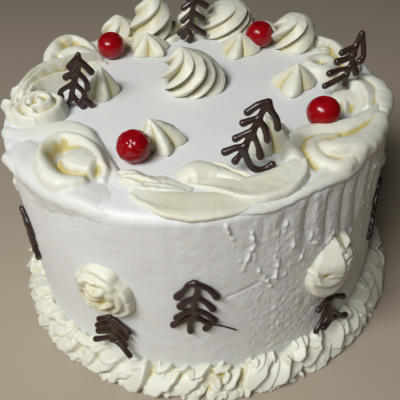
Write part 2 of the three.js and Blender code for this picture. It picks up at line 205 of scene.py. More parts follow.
def coat_relief(heading, height, points):
    """How far the coat stands proud, in millimetres, at headings in degrees and heights up the wall."""
    proud = 0.45 * ripple(points, 38, 3) + 0.20 * ripple(points, 14, 4)
    proud += 0.16 * ripple(upright(points, 0.05), 5.0, 22)
    turned = (heading - SMOOTH_HEADING) % 360
    knifed = fade(turned, 8, 26) * (1 - fade(turned, 178, 225))
    waver = 2.0 * ripple(points, 34, 5) + 1.5 * ripple(upright(points, 0.22), 9, 6)
    ridges = np.abs(np.sin(np.radians((turned + waver) * 180 / RIDGE_PITCH)))
    lower = 98 - 14 * fade(turned, 14, 36) + 9 * ripple(upright(points, 0), 11, 7)
    reach = fade(height, lower - 10, lower + 8)
    proud += knifed * reach * (RIDGE_RISE * ridges ** 0.8 - RIDGE_SINK) * (1 - 0.8 * fade(height, 111, 118))
    proud += knifed * reach * 0.30 * ripple(upright(points, 0.12), 2.2, 16)
    worked = fade(turned, 2, 18) * (1 - fade(turned, 195, 235))
    proud += worked * (0.14 * ripple(points, 2.4, 8) + 0.18 * ripple(points, 1.3, 17))
    pits = np.clip(ripple(points, 2.6, 9) - 0.15, 0, 1)
    lumps = np.clip(ripple(points, 2.2, 18) - 0.3, 0, 1)
    band = fade(height, 16, 30) * (1 - fade(height, 66, 80))
    proud += worked * band * (LUMP_RISE * lumps - PIT_DEPTH * pits)
    streaks = upright(points, 0.5)
    flecks = np.clip(ripple(streaks, 3.8, 10) + 0.6 * ripple(streaks, 1.8, 11) - 0.70, 0, 1)
    proud += worked * FLECK_RISE * flecks * fade(height, 62, 84) * (1 - fade(height, 110, 117))
    proud += CURL_RISE * curl_relief(heading, height) * np.clip(0.55 + 0.9 * ripple(points, 2.2, 23), 0, 1.4)
    scratch = np.abs(height - 67.6 - (turned - 1) * 0.69 - 0.8 * ripple(points, 20, 19))
    proud -= (
        SCRATCH_DEPTH * np.exp(-((scratch / 0.8) ** 2)) * fade(turned, 0, 3) * (1 - fade(turned, 13, 16))
    )
    specks = np.clip(ripple(points, 3.2, 31) + 0.5 * ripple(points, 1.6, 32) - 0.82, 0, 1)
    proud += SPECK_RISE * specks * (0.35 + 0.65 * fade(height, 84, 104)) * (1 - fade(height, 110, 117))
    proud += 0.10 * ripple(points, 4.5, 33) + 0.07 * ripple(points, 2.2, 12)
    return proud


def ring_mesh(name, rows, heading, place, tube=False):
    """A closed skin of rings, with its ends capped or joined in a tube. Place(row, heading) gives the points
    of one ring."""
    columns = len(heading)
    points = np.vstack([place(row, heading) for row in range(rows)])
    index = np.arange(rows * columns).reshape(rows, columns)
    beside = np.roll(index, -1, axis=1)
    after, beside_after = np.roll(index, -1, axis=0), np.roll(beside, -1, axis=0)
    quads = np.stack([index, beside, beside_after, after], axis=-1)
    quads = (quads if tube else quads[:-1]).reshape(-1, 4)
    mesh = bpy.data.meshes.new(name)
    ends = [] if tube else [index[0, ::-1].tolist(), index[-1].tolist()]
    mesh.from_pydata((points * MM).tolist(), [], quads.tolist() + ends)
    mesh.shade_smooth()
    return mesh


def coat_ring(row, heading):
    """One ring of the coat, from the foot up the wall, round the rim and in over the top."""
    wall_top = CAKE_HEIGHT - EDGE_ROUND
    if row < COAT_ROWS:
        spread, lift, out = WALL_RADIUS, wall_top * row / COAT_ROWS, (1.0, 0.0)
    elif row < COAT_ROWS + RIM_ROWS:
        turn = (row - COAT_ROWS) / RIM_ROWS * math.pi / 2
        spread = WALL_RADIUS - EDGE_ROUND + EDGE_ROUND * math.cos(turn)
        lift = wall_top + EDGE_ROUND * math.sin(turn)
        out = (math.cos(turn), math.sin(turn))
    else:
        share = (row - COAT_ROWS - RIM_ROWS) / TOP_ROWS
        spread, lift, out = (WALL_RADIUS - EDGE_ROUND) * (1 - share) + 0.5 * share, CAKE_HEIGHT, (0.0, 1.0)
    ring = np.stack([
        spread * np.cos(heading), spread * np.sin(heading), np.full_like(heading, lift),
    ], axis=1)
    proud = coat_relief(np.degrees(heading), ring[:, 2], ring) * out[0]
    top = 0.35 * ripple(ring, 26, 13) + 0.12 * ripple(ring, 9, 14) + 0.05 * ripple(ring, 3, 15)
    proud += top * out[1]
    proud *= fade(ring[:, 2], 0, 6)
    ring[:, 0] += proud * out[0] * np.cos(heading)
    ring[:, 1] += proud * out[0] * np.sin(heading)
    ring[:, 2] += proud * out[1]
    return ring


def new_finish(name, values):
    """A finish with values set on its surface. Gives the finish, its graph of nodes, its surface and the
    places on the piece."""
    finish = bpy.data.materials.new(name)
    finish.use_nodes = True
    graph = finish.node_tree
    skin = graph.nodes["Principled BSDF"]
    for key, value in values.items():
        skin.inputs[key].default_value = value
    return finish, graph, skin, graph.nodes.new("ShaderNodeTexCoord").outputs["Object"]


def cloudy(graph, place, scale, detail):
    """Cloudy values from 0 to 1 over a piece."""
    cloud = graph.nodes.new("ShaderNodeTexNoise")
    cloud.inputs["Scale"].default_value = scale
    cloud.inputs["Detail"].default_value = detail
    graph.links.new(place, cloud.inputs["Vector"])
    return cloud.outputs["Fac"]


def noted(graph, name):
    """The values that a piece's points carry under a name."""
    values = graph.nodes.new("ShaderNodeAttribute")
    values.attribute_name = name
    return values.outputs["Fac"]


def blended(graph, share, first, second):
    """A colour blended into a second one by a share. The first may come from an earlier blend."""
    blend = graph.nodes.new("ShaderNodeMix")
    blend.data_type = "RGBA"
    graph.links.new(share, blend.inputs["Factor"])
    if isinstance(first, tuple):
        blend.inputs["A"].default_value = (*first, 1)
    else:
        graph.links.new(first, blend.inputs["A"])
    blend.inputs["B"].default_value = (*second, 1)
    return blend.outputs["Result"]


def cream_finish(name, light, shade, deep, rough, grain):
    """Whipped cream: matt satin, faintly see-through, a fine airy grain, and painted yellow shade in its
    creases.
    """
    finish, graph, skin, place = new_finish(name, {
        "Roughness": rough, "Specular IOR Level": 0.35, "Subsurface Weight": 0.25,
        "Subsurface Radius": (1.0, 0.75, 0.4), "Subsurface Scale": 0.0025,
    })
    colour = blended(graph, cloudy(graph, place, 34.0, 4.0), light, shade)
    # Painted shade: blends towards the crease colour by each point's painted crease shade.
    colour = blended(graph, noted(graph, "crease_shade"), colour, deep)
    # Partly painted shade: where the cream lies thin it takes a white darkened to tone down the lit rim.
    colour = blended(graph, noted(graph, "thin"), colour, THIN_SHADED_WHITE)
    graph.links.new(colour, skin.inputs["Base Color"])
    bump = graph.nodes.new("ShaderNodeBump")
    bump.inputs["Strength"].default_value = grain
    bump.inputs["Distance"].default_value = 0.0006
    graph.links.new(cloudy(graph, place, 900.0, 3.0), bump.inputs["Height"])
    graph.links.new(bump.outputs["Normal"], skin.inputs["Normal"])
    return finish


def note(mesh, name, values):
    """Writes a value for each point of a mesh under a name."""
    mesh.attributes.new(name, "FLOAT", "POINT").data.foreach_set("value", values.astype(np.float32))


def place_piece(name, mesh, finish, node, crease_shade=None):
    """Gives a mesh its finish and sets it in the place of its node, with the painted crease shade of its
    points noted.
    """
    if crease_shade is not None:
        note(mesh, "crease_shade", crease_shade)
    mesh.materials.append(finish)
    piece = bpy.data.objects.new(name, mesh)
    bpy.context.scene.collection.objects.link(piece)
    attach(piece, "root")
    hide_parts(node)
    return piece


coat_finish = cream_finish("spread_cream", COAT_WHITE, COAT_SHADE, COAT_CREASE_SHADE, COAT_ROUGHNESS, COAT_GRAIN)
fine_part = np.radians(np.linspace(FINE_FROM, FINE_TO, FINE_COLUMNS, endpoint=False))
wide_part = np.radians(np.linspace(FINE_TO, FINE_FROM + 360, COAT_COLUMNS - FINE_COLUMNS, endpoint=False))
coat_mesh = ring_mesh(
    "coat", COAT_ROWS + RIM_ROWS + TOP_ROWS + 1, np.concatenate([fine_part, wide_part]), coat_ring
)
place_piece("coat", coat_mesh, coat_finish, "cake_drum")

# Foot border: star-nozzle shells piped nose to tail round the foot, one unbroken line that closes the
# joint at the floor. Each shell is pressed out high at the wall and pulled down, outwards and along to a
# thin tail, so that it lies on the next one like a roof tile and leaves a deep crease beside it.
BORDER_COLUMNS = 1320
BORDER_ROWS = 60
BORDER_BEND = WALL_RADIUS + 8
BORDER_PROFILE = ((-1.2, 15.0), (1.6, 15.4), (4.6, 14.4), (7.2, 12.0), (9.2, 8.6), (10.4, 4.8), (10.9, 0.2))
BORDER_BACK = ((7.0, 0.0), (-2.5, 0.0), (-2.5, 13.0))
FOOT_CRUMBS = 170
HEAD_CRUMBS = 110
SMEARED_HEADING = -132
PIPED_WHITE = (0.740, 0.733, 0.650)
PIPED_SHADE = (0.715, 0.694, 0.555)
# Painted shade: the yellow that creases in piped cream are blended towards.
PIPED_CREASE_SHADE = (0.53, 0.438, 0.155)
PIPED_ROUGHNESS = 0.42
PIPED_GRAIN = 0.06


def smooth_line(marks, step):
    """Points about a step apart on a smooth curve through marks of [x, y, z, radius]."""
    marks = np.array(marks, float)
    ends = np.vstack([2 * marks[0] - marks[1], marks, 2 * marks[-1] - marks[-2]])
    parts = []
    for i in range(1, len(ends) - 2):
        a, b, c, d = ends[i - 1:i + 3]
        count = max(2, int(np.linalg.norm((c - b)[:3]) / step))
        t = (np.arange(count) / count)[:, None]
        parts.append(
            b + 0.5 * ((c - a) * t + (2 * a - 5 * b + 4 * c - d) * t ** 2 + (3 * b - a - 3 * c + d) * t ** 3)
        )
    parts.append(marks[-1:])
    line = np.vstack(parts)
    line[:, 3] = np.maximum(line[:, 3], 0.3)
    return line


piped_finish = cream_finish(
    "piped_cream", PIPED_WHITE, PIPED_SHADE, PIPED_CREASE_SHADE, PIPED_ROUGHNESS, PIPED_GRAIN
)
border_draw = np.random.default_rng(7)
border_line = smooth_line([[out, lift, 0, 1] for out, lift in BORDER_PROFILE], 0.1)[:, :2]
border_far = np.concatenate([[0], np.cumsum(np.hypot(*np.diff(border_line, axis=0).T))])
border_down = np.linspace(0, border_far[-1], BORDER_ROWS)
border_line = np.stack([np.interp(border_down, border_far, border_line[:, k]) for k in range(2)], axis=1)
border_way = np.gradient(border_line, axis=0)
border_way /= np.linalg.norm(border_way, axis=1, keepdims=True)
border_turn = np.linspace(0, 2 * np.pi, BORDER_COLUMNS, endpoint=False)
border_flat = np.stack([
    np.repeat(BORDER_BEND * np.cos(border_turn)[None], BORDER_ROWS, 0).ravel(),
    np.repeat(BORDER_BEND * np.sin(border_turn)[None], BORDER_ROWS, 0).ravel(),
    np.repeat(border_down, BORDER_COLUMNS),
], axis=1)
border_waver = (0.9 * ripple(border_flat, 4.0, 20)).reshape(BORDER_ROWS, -1)
border_proud = (0.5 * ripple(border_flat, 7.0, 21) - 3.6).reshape(BORDER_ROWS, -1)


def lay_scale(heading, down, slant, long, wide, lift, tip, lean):
    """Lays one scale of a shell over the border: it runs down and to the left, rises to its right-hand edge
    by lean and to its lower end by tip, and falls away steeply all round. Heading and slant are degrees."""
    reach = (long + wide + 4) / BORDER_BEND
    gap = (border_turn - math.radians(heading) + np.pi) % (2 * np.pi) - np.pi
    columns = np.flatnonzero(np.abs(gap) < reach)
    x = (gap[columns] * BORDER_BEND)[None, :]
    y = (border_down - down)[:, None]
    slope = math.radians(slant)
    along = -x * math.cos(slope) + y * math.sin(slope)
    beside = x * math.sin(slope) + y * math.cos(slope)
    edge = wide * (1 - 0.6 * np.clip(along / long, -1, 1) ** 2) + border_waver[:, columns]
    outside = np.maximum(np.maximum(np.abs(beside) - edge, np.abs(along) - long), 0)
    rise = lift + tip * along / long + lean * beside / wide - 4.5 * outside
    border_proud[:, columns] = np.maximum(border_proud[:, columns], rise)


# Rows of scales from the floor up: each row's share of the way down, count, and the scale's own measures.
for share, count, slant, long, wide, lift, tip, lean in (
    (0.90, 66, 46, 6.0, 3.4, -0.9, 1.6, 1.8), (0.66, 60, 48, 9.0, 4.2, -0.5, 1.8, 2.6),
    (0.40, 56, 54, 9.5, 4.6, -0.2, 1.6, 3.0), (0.14, 58, 38, 6.6, 4.0, 0.4, 0.6, 2.6),
):
    for number in range(count):
        size = border_draw.uniform(0.7, 1.3)
        lay_scale(
            360 * (number + border_draw.uniform(-0.48, 0.48)) / count,
            border_far[-1] * (share + border_draw.uniform(-0.10, 0.10)),
            slant + border_draw.uniform(-30, 30), long * size, wide * size,
            lift + border_draw.uniform(-1.0, 1.3), tip, lean * border_draw.uniform(0.4, 1.4),
        )
for _ in range(FOOT_CRUMBS):
    lay_scale(
        border_draw.uniform(0, 360), border_far[-1] - border_draw.uniform(0.3, 3.6),
        border_draw.uniform(30, 120), border_draw.uniform(1.6, 3.4), border_draw.uniform(0.7, 1.5),
        border_draw.uniform(0.6, 2.6), 0.8, 0.6,
    )
for _ in range(HEAD_CRUMBS):
    lay_scale(
        border_draw.uniform(0, 360), border_draw.uniform(0.4, 14.0), border_draw.uniform(30, 120),
        border_draw.uniform(1.8, 3.6), border_draw.uniform(0.8, 1.6), border_draw.uniform(1.0, 3.4),
        -0.6, 0.9,
    )


def spread_out(heights, reach):
    """Heights averaged over a square reaching so many cells each way; columns run round, rows do not."""
    wide = sum(np.roll(heights, step, axis=1) for step in range(-reach, reach + 1)) / (2 * reach + 1)
    tall = np.pad(wide, ((reach, reach), (0, 0)), mode="edge")
    return sum(tall[step:step + len(heights)] for step in range(2 * reach + 1)) / (2 * reach + 1)


smeared = 1 - fade(np.abs((np.degrees(border_turn) - SMEARED_HEADING + 180) % 360 - 180), 18, 44)
border_proud += (0.55 * smeared)[None, :] * (spread_out(border_proud, 3) - border_proud)
border_proud += 0.35 * (spread_out(border_proud, 1) - border_proud)
# Painted shade: the border is yellower where it lies below the cream around it.
border_crease_shade = fade(spread_out(border_proud, 5) - border_proud, 0.3, 2.6)


def border_ring(row, heading):
    """One ring of the border's skin; the last few run back under it and up inside the wall."""
    if row < BORDER_ROWS:
        out = border_line[row, 0] - border_way[row, 1] * border_proud[row]
        lift = border_line[row, 1] + border_way[row, 0] * border_proud[row]
    else:
        out, lift = (np.full_like(heading, value) for value in BORDER_BACK[row - BORDER_ROWS])
    spread = WALL_RADIUS + out
    return np.stack([spread * np.cos(heading), spread * np.sin(heading), np.maximum(lift, 0.0)], axis=1)


border_mesh = ring_mesh("foot_shells", BORDER_ROWS + len(BORDER_BACK), border_turn, border_ring, tube=True)
border_crease_shade = np.concatenate([border_crease_shade.ravel(), np.zeros(len(BORDER_BACK) * BORDER_COLUMNS)])
place_piece("foot_shells", border_mesh, piped_finish, "foot_shell_border", border_crease_shade)

# Wall rosettes: six pieces of piped cream pressed on to the wall half way up, four of them roses with soft
# petals round a crumpled middle and two folded from broad leaves. They hold by the stickiness of the cream.
ROSETTE_HEIGHT = 67.0
ROSETTE_CELL = 0.45
HIDDEN_ROSETTE_CELL = 0.52
ROSETTE_WAVES = (0.3, 0.18)
# Painted shade: a rose's yellow round its middle, and how much crease shade folded ones lose.
ROSE_SHADE = ((-1, 0), 0.46, 10.0)
FOLDED_LESS_SHADE = 0.35
GROUND = -0.3
UNDERSIDE = -2.0
NOTHING = -40.0
PETAL = (
    (-2.2, -8), (-1.3, -3.2), (-0.6, -1.3), (0.1, -0.35), (0.55, 0), (0.85, -0.25), (1.05, -1.3),
    (1.35, -4.5), (1.7, -9),
)
DOME = (
    (-1.5, -9), (-1.2, -4.5), (-1, -2.4), (-0.7, -0.9), (-0.3, -0.15), (0, 0), (0.3, -0.15), (0.7, -0.9),
    (1, -2.4), (1.2, -4.5), (1.5, -9),
)
BUD = (
    (-1.7, -6), (-1.15, -2.6), (-0.7, -0.9), (-0.3, -0.1), (0, 0), (0.35, -0.25), (0.7, -1.2), (1, -3.2),
    (1.35, -7),
)
LEAF = (
    (-1.25, -13), (-1.05, -9.4), (-0.9, -7.8), (-0.4, -5.2), (0.1, -2.8), (0.5, -1.0), (0.78, 0),
    (0.92, -0.2), (1.02, -1.6), (1.12, -4.5), (1.3, -10),
)
BRIM = (
    (-1.7, -7), (-1.2, -3.6), (-0.7, -1.7), (-0.1, -0.5), (0.4, 0), (0.75, -0.3), (0.98, -1.5), (1.2, -4.5),
    (1.5, -9),
)


class Relief:
    """Cream laid on a face in layers: a grid of heights over the face, each layer over those before it."""

    def __init__(self, low, high, cell, waver, seed):
        self.cell = cell
        sides = [np.arange(low[k], high[k] + cell, cell) for k in range(2)]
        self.x, self.y = np.meshgrid(*sides, indexing="ij")
        flat = np.stack([self.x.ravel(), self.y.ravel(), np.zeros(self.x.size)], axis=1)
        self.at_x, self.at_y = (
            place.ravel() + waver * ripple(flat, 5.5, seed + k)
            + 0.3 * waver * ripple(flat, 1.9, seed + 2 + k)
            for k, place in enumerate((self.x, self.y))
        )
        self.high = np.full(self.x.size, NOTHING)
        # Painted shade that shade() lays on, added to the shade painted into creases.
        self.deep = np.zeros(self.x.size)

    def lay(self, marks, section, deep=1.0):
        """Lays a band through marks of [x, y, height, half width]. Section is its outline from left to right
        of the way it runs, as [offset, height] with the offset in half widths; deep scales its heights."""
        line = smooth_line(marks, 0.5)
        offsets, heights = np.array(section).T
        pad = line[:, 3].max() * max(-offsets[0], offsets[-1]) + 3
        low, high = line[:, :2].min(axis=0) - pad, line[:, :2].max(axis=0) + pad
        near = np.flatnonzero(
            (self.at_x > low[0]) & (self.at_x < high[0]) & (self.at_y > low[1]) & (self.at_y < high[1])
        )
        ways = np.gradient(line[:, :2], axis=0)
        ways /= np.maximum(np.linalg.norm(ways, axis=1, keepdims=True), 1e-9)
        off_x, off_y = self.at_x[near, None] - line[:, 0], self.at_y[near, None] - line[:, 1]
        nearest = (off_x ** 2 + off_y ** 2).argmin(axis=1)
        rows = np.arange(len(near))
        off_x, off_y, way = off_x[rows, nearest], off_y[rows, nearest], ways[nearest]
        beyond = np.maximum(np.abs(off_x * way[:, 0] + off_y * way[:, 1]) - 0.4, 0)
        beside = (off_x * way[:, 1] - off_y * way[:, 0]) / line[nearest, 3]
        rise = line[nearest, 2] + deep * np.interp(beside, offsets, heights, left=NOTHING, right=NOTHING)
        rise -= np.where((nearest == 0) | (nearest == len(line) - 1), 0.4 * beyond + 0.35 * beyond ** 2, 0)
        self.high[near] = np.maximum(self.high[near], rise)

    def round_about(self, place, wide):
        """Falls off softly from one at a place to nothing about so far from it."""
        return np.exp(-((self.at_x - place[0]) ** 2 + (self.at_y - place[1]) ** 2) / wide ** 2)

    def press(self, place, depth, wide):
        """Presses a small pit at a place."""
        self.high -= depth * self.round_about(place, wide)

    def shade(self, place, amount, wide):
        """Paints yellow shade round a place, over the shade that its creases are painted with."""
        self.deep = np.maximum(self.deep, amount * self.round_about(place, wide))


def averaged(heights, reach):
    """Heights averaged over a square of cells that reaches so many cells each way."""
    for axis in range(2):
        padded = np.pad(heights, [(reach, reach) if k == axis else (0, 0) for k in range(2)], mode="edge")
        count = heights.shape[axis]
        parts = [np.take(padded, np.arange(step, step + count), axis=axis) for step in range(2 * reach + 1)]
        heights = sum(parts) / len(parts)
    return heights


def between(heights, reach):
    """How far each cell lies below the cream on both sides of it, at its deepest over four ways across."""
    padded = np.pad(heights, reach, mode="edge")
    rows, columns = heights.shape
    deepest = np.zeros_like(heights)
    slant = max(1, round(0.7 * reach))
    for x, y in ((reach, 0), (0, reach), (slant, slant), (slant, -slant)):
        one = padded[reach + x:reach + x + rows, reach + y:reach + y + columns]
        other = padded[reach - x:reach - x + rows, reach - y:reach - y + columns]
        deepest = np.maximum(deepest, np.minimum(one, other) - heights)
    return deepest


def set_down(name, points, quads, crease_shade, finish, node):
    """Makes the finished piece from its points in millimetres, and sets it in its node's place."""
    mesh = bpy.data.meshes.new(name)
    mesh.vertices.add(len(points))
    mesh.vertices.foreach_set("co", (points * MM).astype(np.float32).ravel())
    mesh.loops.add(quads.size)
    mesh.loops.foreach_set("vertex_index", quads.astype(np.int32).ravel())
    mesh.polygons.add(len(quads))
    mesh.polygons.foreach_set("loop_start", np.arange(0, quads.size, 4, dtype=np.int32))
    mesh.update(calc_edges=True)
    mesh.validate()
    mesh.shade_smooth()
    return place_piece(name, mesh, finish, node, crease_shade)


def pressed(name, node, relief, waves, seed, settle, soft=1, thin=None):
    """Skins a relief as one closed piece where it stands above the ground, and sets it down. Settle places
    its points, and soft is how often its edges are smoothed. Its creases and marked shades get painted
    yellow
    shade. Thin gives two thicknesses: up to the first the cream takes a white near the coat's, darkened as
    painted shade to tone down the lit rim; from the second it does not."""
    shape = relief.x.shape
    high = relief.high.reshape(shape)
    kept = high > GROUND
    high = np.maximum(high, GROUND - 1.2)
    for _ in range(soft):
        high = high + 0.6 * (averaged(high, 1) - high)
    flat = np.stack([relief.x.ravel(), relief.y.ravel(), high.ravel()], axis=1)
    uneven = waves[0] * ripple(flat, 9.0, seed) + waves[1] * ripple(flat, 3.0, seed + 1)
    high = high + uneven.reshape(shape)
    # Painted shade: yellower the deeper a cell lies between cream on both sides, plus the marked shades.
    crease_shading = (fade(between(high, round(far / relief.cell)), 0.2, 0.7 * far) for far in (2.2, 4.5, 8.0))
    crease_shade = sum(crease_shading) / 1.15 + relief.deep.reshape(shape)
    faces = kept[:-1, :-1] | kept[1:, :-1] | kept[1:, 1:] | kept[:-1, 1:]
    index = np.arange(high.size).reshape(shape)
    quads = np.stack([index[:-1, :-1], index[1:, :-1], index[1:, 1:], index[:-1, 1:]], axis=-1)[faces]
    edges = np.concatenate([quads[:, [k, (k + 1) % 4]] for k in range(4)])
    codes = edges[:, 0] * high.size + edges[:, 1]
    ends, starts = edges[~np.isin(codes, edges[:, 1] * high.size + edges[:, 0])].T
    sides = np.stack([starts, ends, ends + high.size, starts + high.size], axis=1)
    quads = np.concatenate([quads, quads[:, ::-1] + high.size, sides])
    top = np.stack([relief.x.ravel(), relief.y.ravel(), high.ravel()], axis=1)
    under = np.stack([top[:, 0], top[:, 1], np.full(len(top), UNDERSIDE)], axis=1)
    points = np.concatenate([settle(top), settle(under)])
    used, quads = np.unique(quads, return_inverse=True)
    crease_shade = np.clip(np.concatenate([crease_shade.ravel(), np.zeros(high.size)]), 0, 1)
    quads = quads.reshape(-1, 4)
    piece = set_down(name, points[used], quads, crease_shade[used], piped_finish, node)
    if thin:
        note(piece.data, "thin", np.tile(1 - fade(averaged(high, 4).ravel(), *thin), 2)[used])
    return piece


def around(centre, radius, first, last, low, high, width, bulge=0.0):
    """Marks bent round a centre from one heading to another while they rise from low to high."""
    made = []
    for share in np.linspace(0, 1, 7):
        angle = math.radians(first + (last - first) * share)
        far = radius + bulge * math.sin(math.pi * share)
        taper = 0.6 + 0.4 * math.sin(math.pi * min(max(share, 0.08), 0.92))
        made.append([centre[0] + far * math.cos(angle), centre[1] + far * math.sin(angle),
                     low + (high - low) * share, width * taper])
    return made


def on_wall(heading, height):
    """Bends a piece laid out flat, with x to the right, y up and z outwards, on to the wall."""
    def settle(points):
        angle = math.radians(heading) + points[:, 0] / WALL_RADIUS
        spread = WALL_RADIUS + points[:, 2]
        return np.stack([spread * np.cos(angle), spread * np.sin(angle), height + points[:, 1]], axis=1)
    return settle


def rose(relief, turn, draw):
    """A rose: broad soft petals wrapped round a crumpled middle. Turn is the heading of its first petal."""
    relief.lay([[-4, 1, 3.2, 10.5], [0, 1, 3.2, 10.5]], DOME, 0.8)
    rings = ((11.6, 4.8, 3.4, 5, 92), (8.8, 7.2, 3.0, 5, 84), (6.0, 9.2, 2.6, 4, 96))
    for ring, (far, lift, wide, count, sweep) in enumerate(rings):
        for number in range(count):
            middle = turn + 360 * (number + 0.5 * ring) / count + draw.uniform(-14, 14)
            reach = draw.uniform(0.8, 1.15) * sweep / 2
            marks = around(
                (draw.uniform(-1, 1), draw.uniform(-1, 1)), far * draw.uniform(0.9, 1.08), middle - reach,
                middle + reach, lift + draw.uniform(-1, 0.8), lift + draw.uniform(-1, 0.8),
                wide * draw.uniform(0.85, 1.2), bulge=draw.uniform(-0.4, 2.0),
            )
            relief.lay([
                [1.06 * x - 2, y + 1, high + draw.uniform(-0.5, 0.5), size] for x, y, high, size in marks
            ], PETAL)
    for number in range(11):
        far, angle = 5.2 * math.sqrt((number + 0.5) / 11), 2.4 * number + turn
        x, y = far * math.cos(angle) - 2, far * math.sin(angle) + 1
        way = angle + math.pi / 2 + draw.uniform(-1.1, 1.1)
        size = draw.uniform(1.4, 3.0)
        lift = 10.8 - 0.22 * far + draw.uniform(-1.8, 1.2)
        bend = draw.uniform(-1.4, 1.4)
        relief.lay([
            [x + k * size * math.cos(way) - bend * k * k * math.sin(way),
             y + k * size * math.sin(way) + bend * k * k * math.cos(way),
             lift - 0.5 * k * k, draw.uniform(1.5, 2.5)] for k in (-1, 0, 1)
        ], BUD)


def folded(relief, side, draw):
    """A rosette folded from two broad leaves, one standing up and one cupped below; side mirrors it."""
    for marks, section in (
        ([(-2.5, -2, 3.0, 9.5), (3, 1, 3.0, 9.5)], DOME),
        ([(-10.8, 2.5, 3.4, 2.6), (-10.2, -5, 5.4, 4), (-6, -10.8, 6.8, 4.8), (0, -12.8, 7.2, 5),
          (5.4, -10, 7.4, 4.4), (9, -4.5, 7.4, 3)], BRIM),
        ([(-4.6, -1.5, 10.4, 7.6), (-4.0, 3, 11, 7.0), (-3.0, 7.5, 10.4, 5.8), (-1.4, 11.8, 8.6, 4.2),
          (0.6, 15.4, 6.0, 2.2)], LEAF),
        ([(-10, 2.2, 5.4, 2.2), (-8, -3, 7.2, 3), (-3.4, -5.8, 8.4, 3.4), (2, -5, 9, 3.2),
          (6.6, -1.4, 9, 2.2)], BRIM),
    ):
        if side < 0:
            section = tuple((-offset, high) for offset, high in reversed(section))
        relief.lay([[side * x, y, z, wide] for x, y, z, wide in marks], section)
    relief.press((-5.4 * side, -0.6), 2.2, 1.4)
    for _ in range(22):
        x, y = draw.uniform(3, 11), draw.uniform(-4, 12)
        turn = draw.uniform(0, 2 * math.pi)
        size = draw.uniform(1.4, 3.2)
        lift = 9.2 - 0.05 * (x - 4) ** 2 - 0.03 * (y - 3) ** 2 + draw.uniform(-1.4, 1.4)
        relief.lay([
            [side * (x + k * size * math.cos(turn)), y + k * size * math.sin(turn), lift - 0.4 * k * k,
             draw.uniform(1.0, 1.9)] for k in (-1, 0, 1)
        ], PETAL)


rosettes = (
    ("front_left", -118, rose, 20), ("front_right", -55, folded, 1), ("right", 5, rose, 140),
    ("right_back", 62, folded, -1), ("back", 118, rose, 255), ("left", 175, rose, 80),
)
for count, (place, heading, pipe, turn) in enumerate(rosettes):
    cell = ROSETTE_CELL if place.startswith("front") else HIDDEN_ROSETTE_CELL
    rosette = Relief((-22, -24), (22, 26), cell, 0.7, 40 + 4 * count)
    pipe(rosette, turn, np.random.default_rng(30 + count))
    # Painted shade: roses get broad yellow shade round the middle, folded ones less shade in their creases.
    if pipe is rose:
        rosette.shade(*ROSE_SHADE)
    else:
        rosette.deep -= FOLDED_LESS_SHADE
    pressed(
        f"rosette_{place}", f"rosette_wall_{place}", rosette, ROSETTE_WAVES, 70 + 2 * count,
        on_wall(heading, ROSETTE_HEIGHT),
    )

# Wall trees: fir trees piped flat in dark chocolate, left to set, and pressed on to the wall, upright ones
# all round and smaller ones below the rosettes, which lean out on to the foot border. From the front one
# a thread of chocolate trails off where the piping bag was drawn away.
TREE_HEIGHT = 45.0
TREE_PROUD = 1.1
LOW_TREE_HEIGHT = 23.5
LOW_TREE_DISTANCE = 113.0
LOW_TREE_LEAN = 8.0
STROKE = 1.6
BLOB = 1.95
THREAD = 0.55
STRAND_BLEND = 0.7
TREE_CELL = 0.62
THREAD_CELL = 0.5
TREE_UNEVEN = 0.14
FAR = 6.0
CHOCOLATE_DARK = (0.020, 0.0095, 0.0080)
CHOCOLATE_LIGHT = (0.052, 0.027, 0.020)


def soft_least(a, b, reach):
    """The lesser of two depths, rounded where they meet within reach."""
    share = np.clip(0.5 + 0.5 * (b - a) / reach, 0, 1)
    return b + (a - b) * share - reach * share * (1 - share)


def span(lines, low, high):
    """The slices of three lists of cell places that lie between two corners."""
    return tuple(
        slice(int(np.searchsorted(lines[k], low[k])), int(np.searchsorted(lines[k], high[k], "right")))
        for k in range(3)
    )


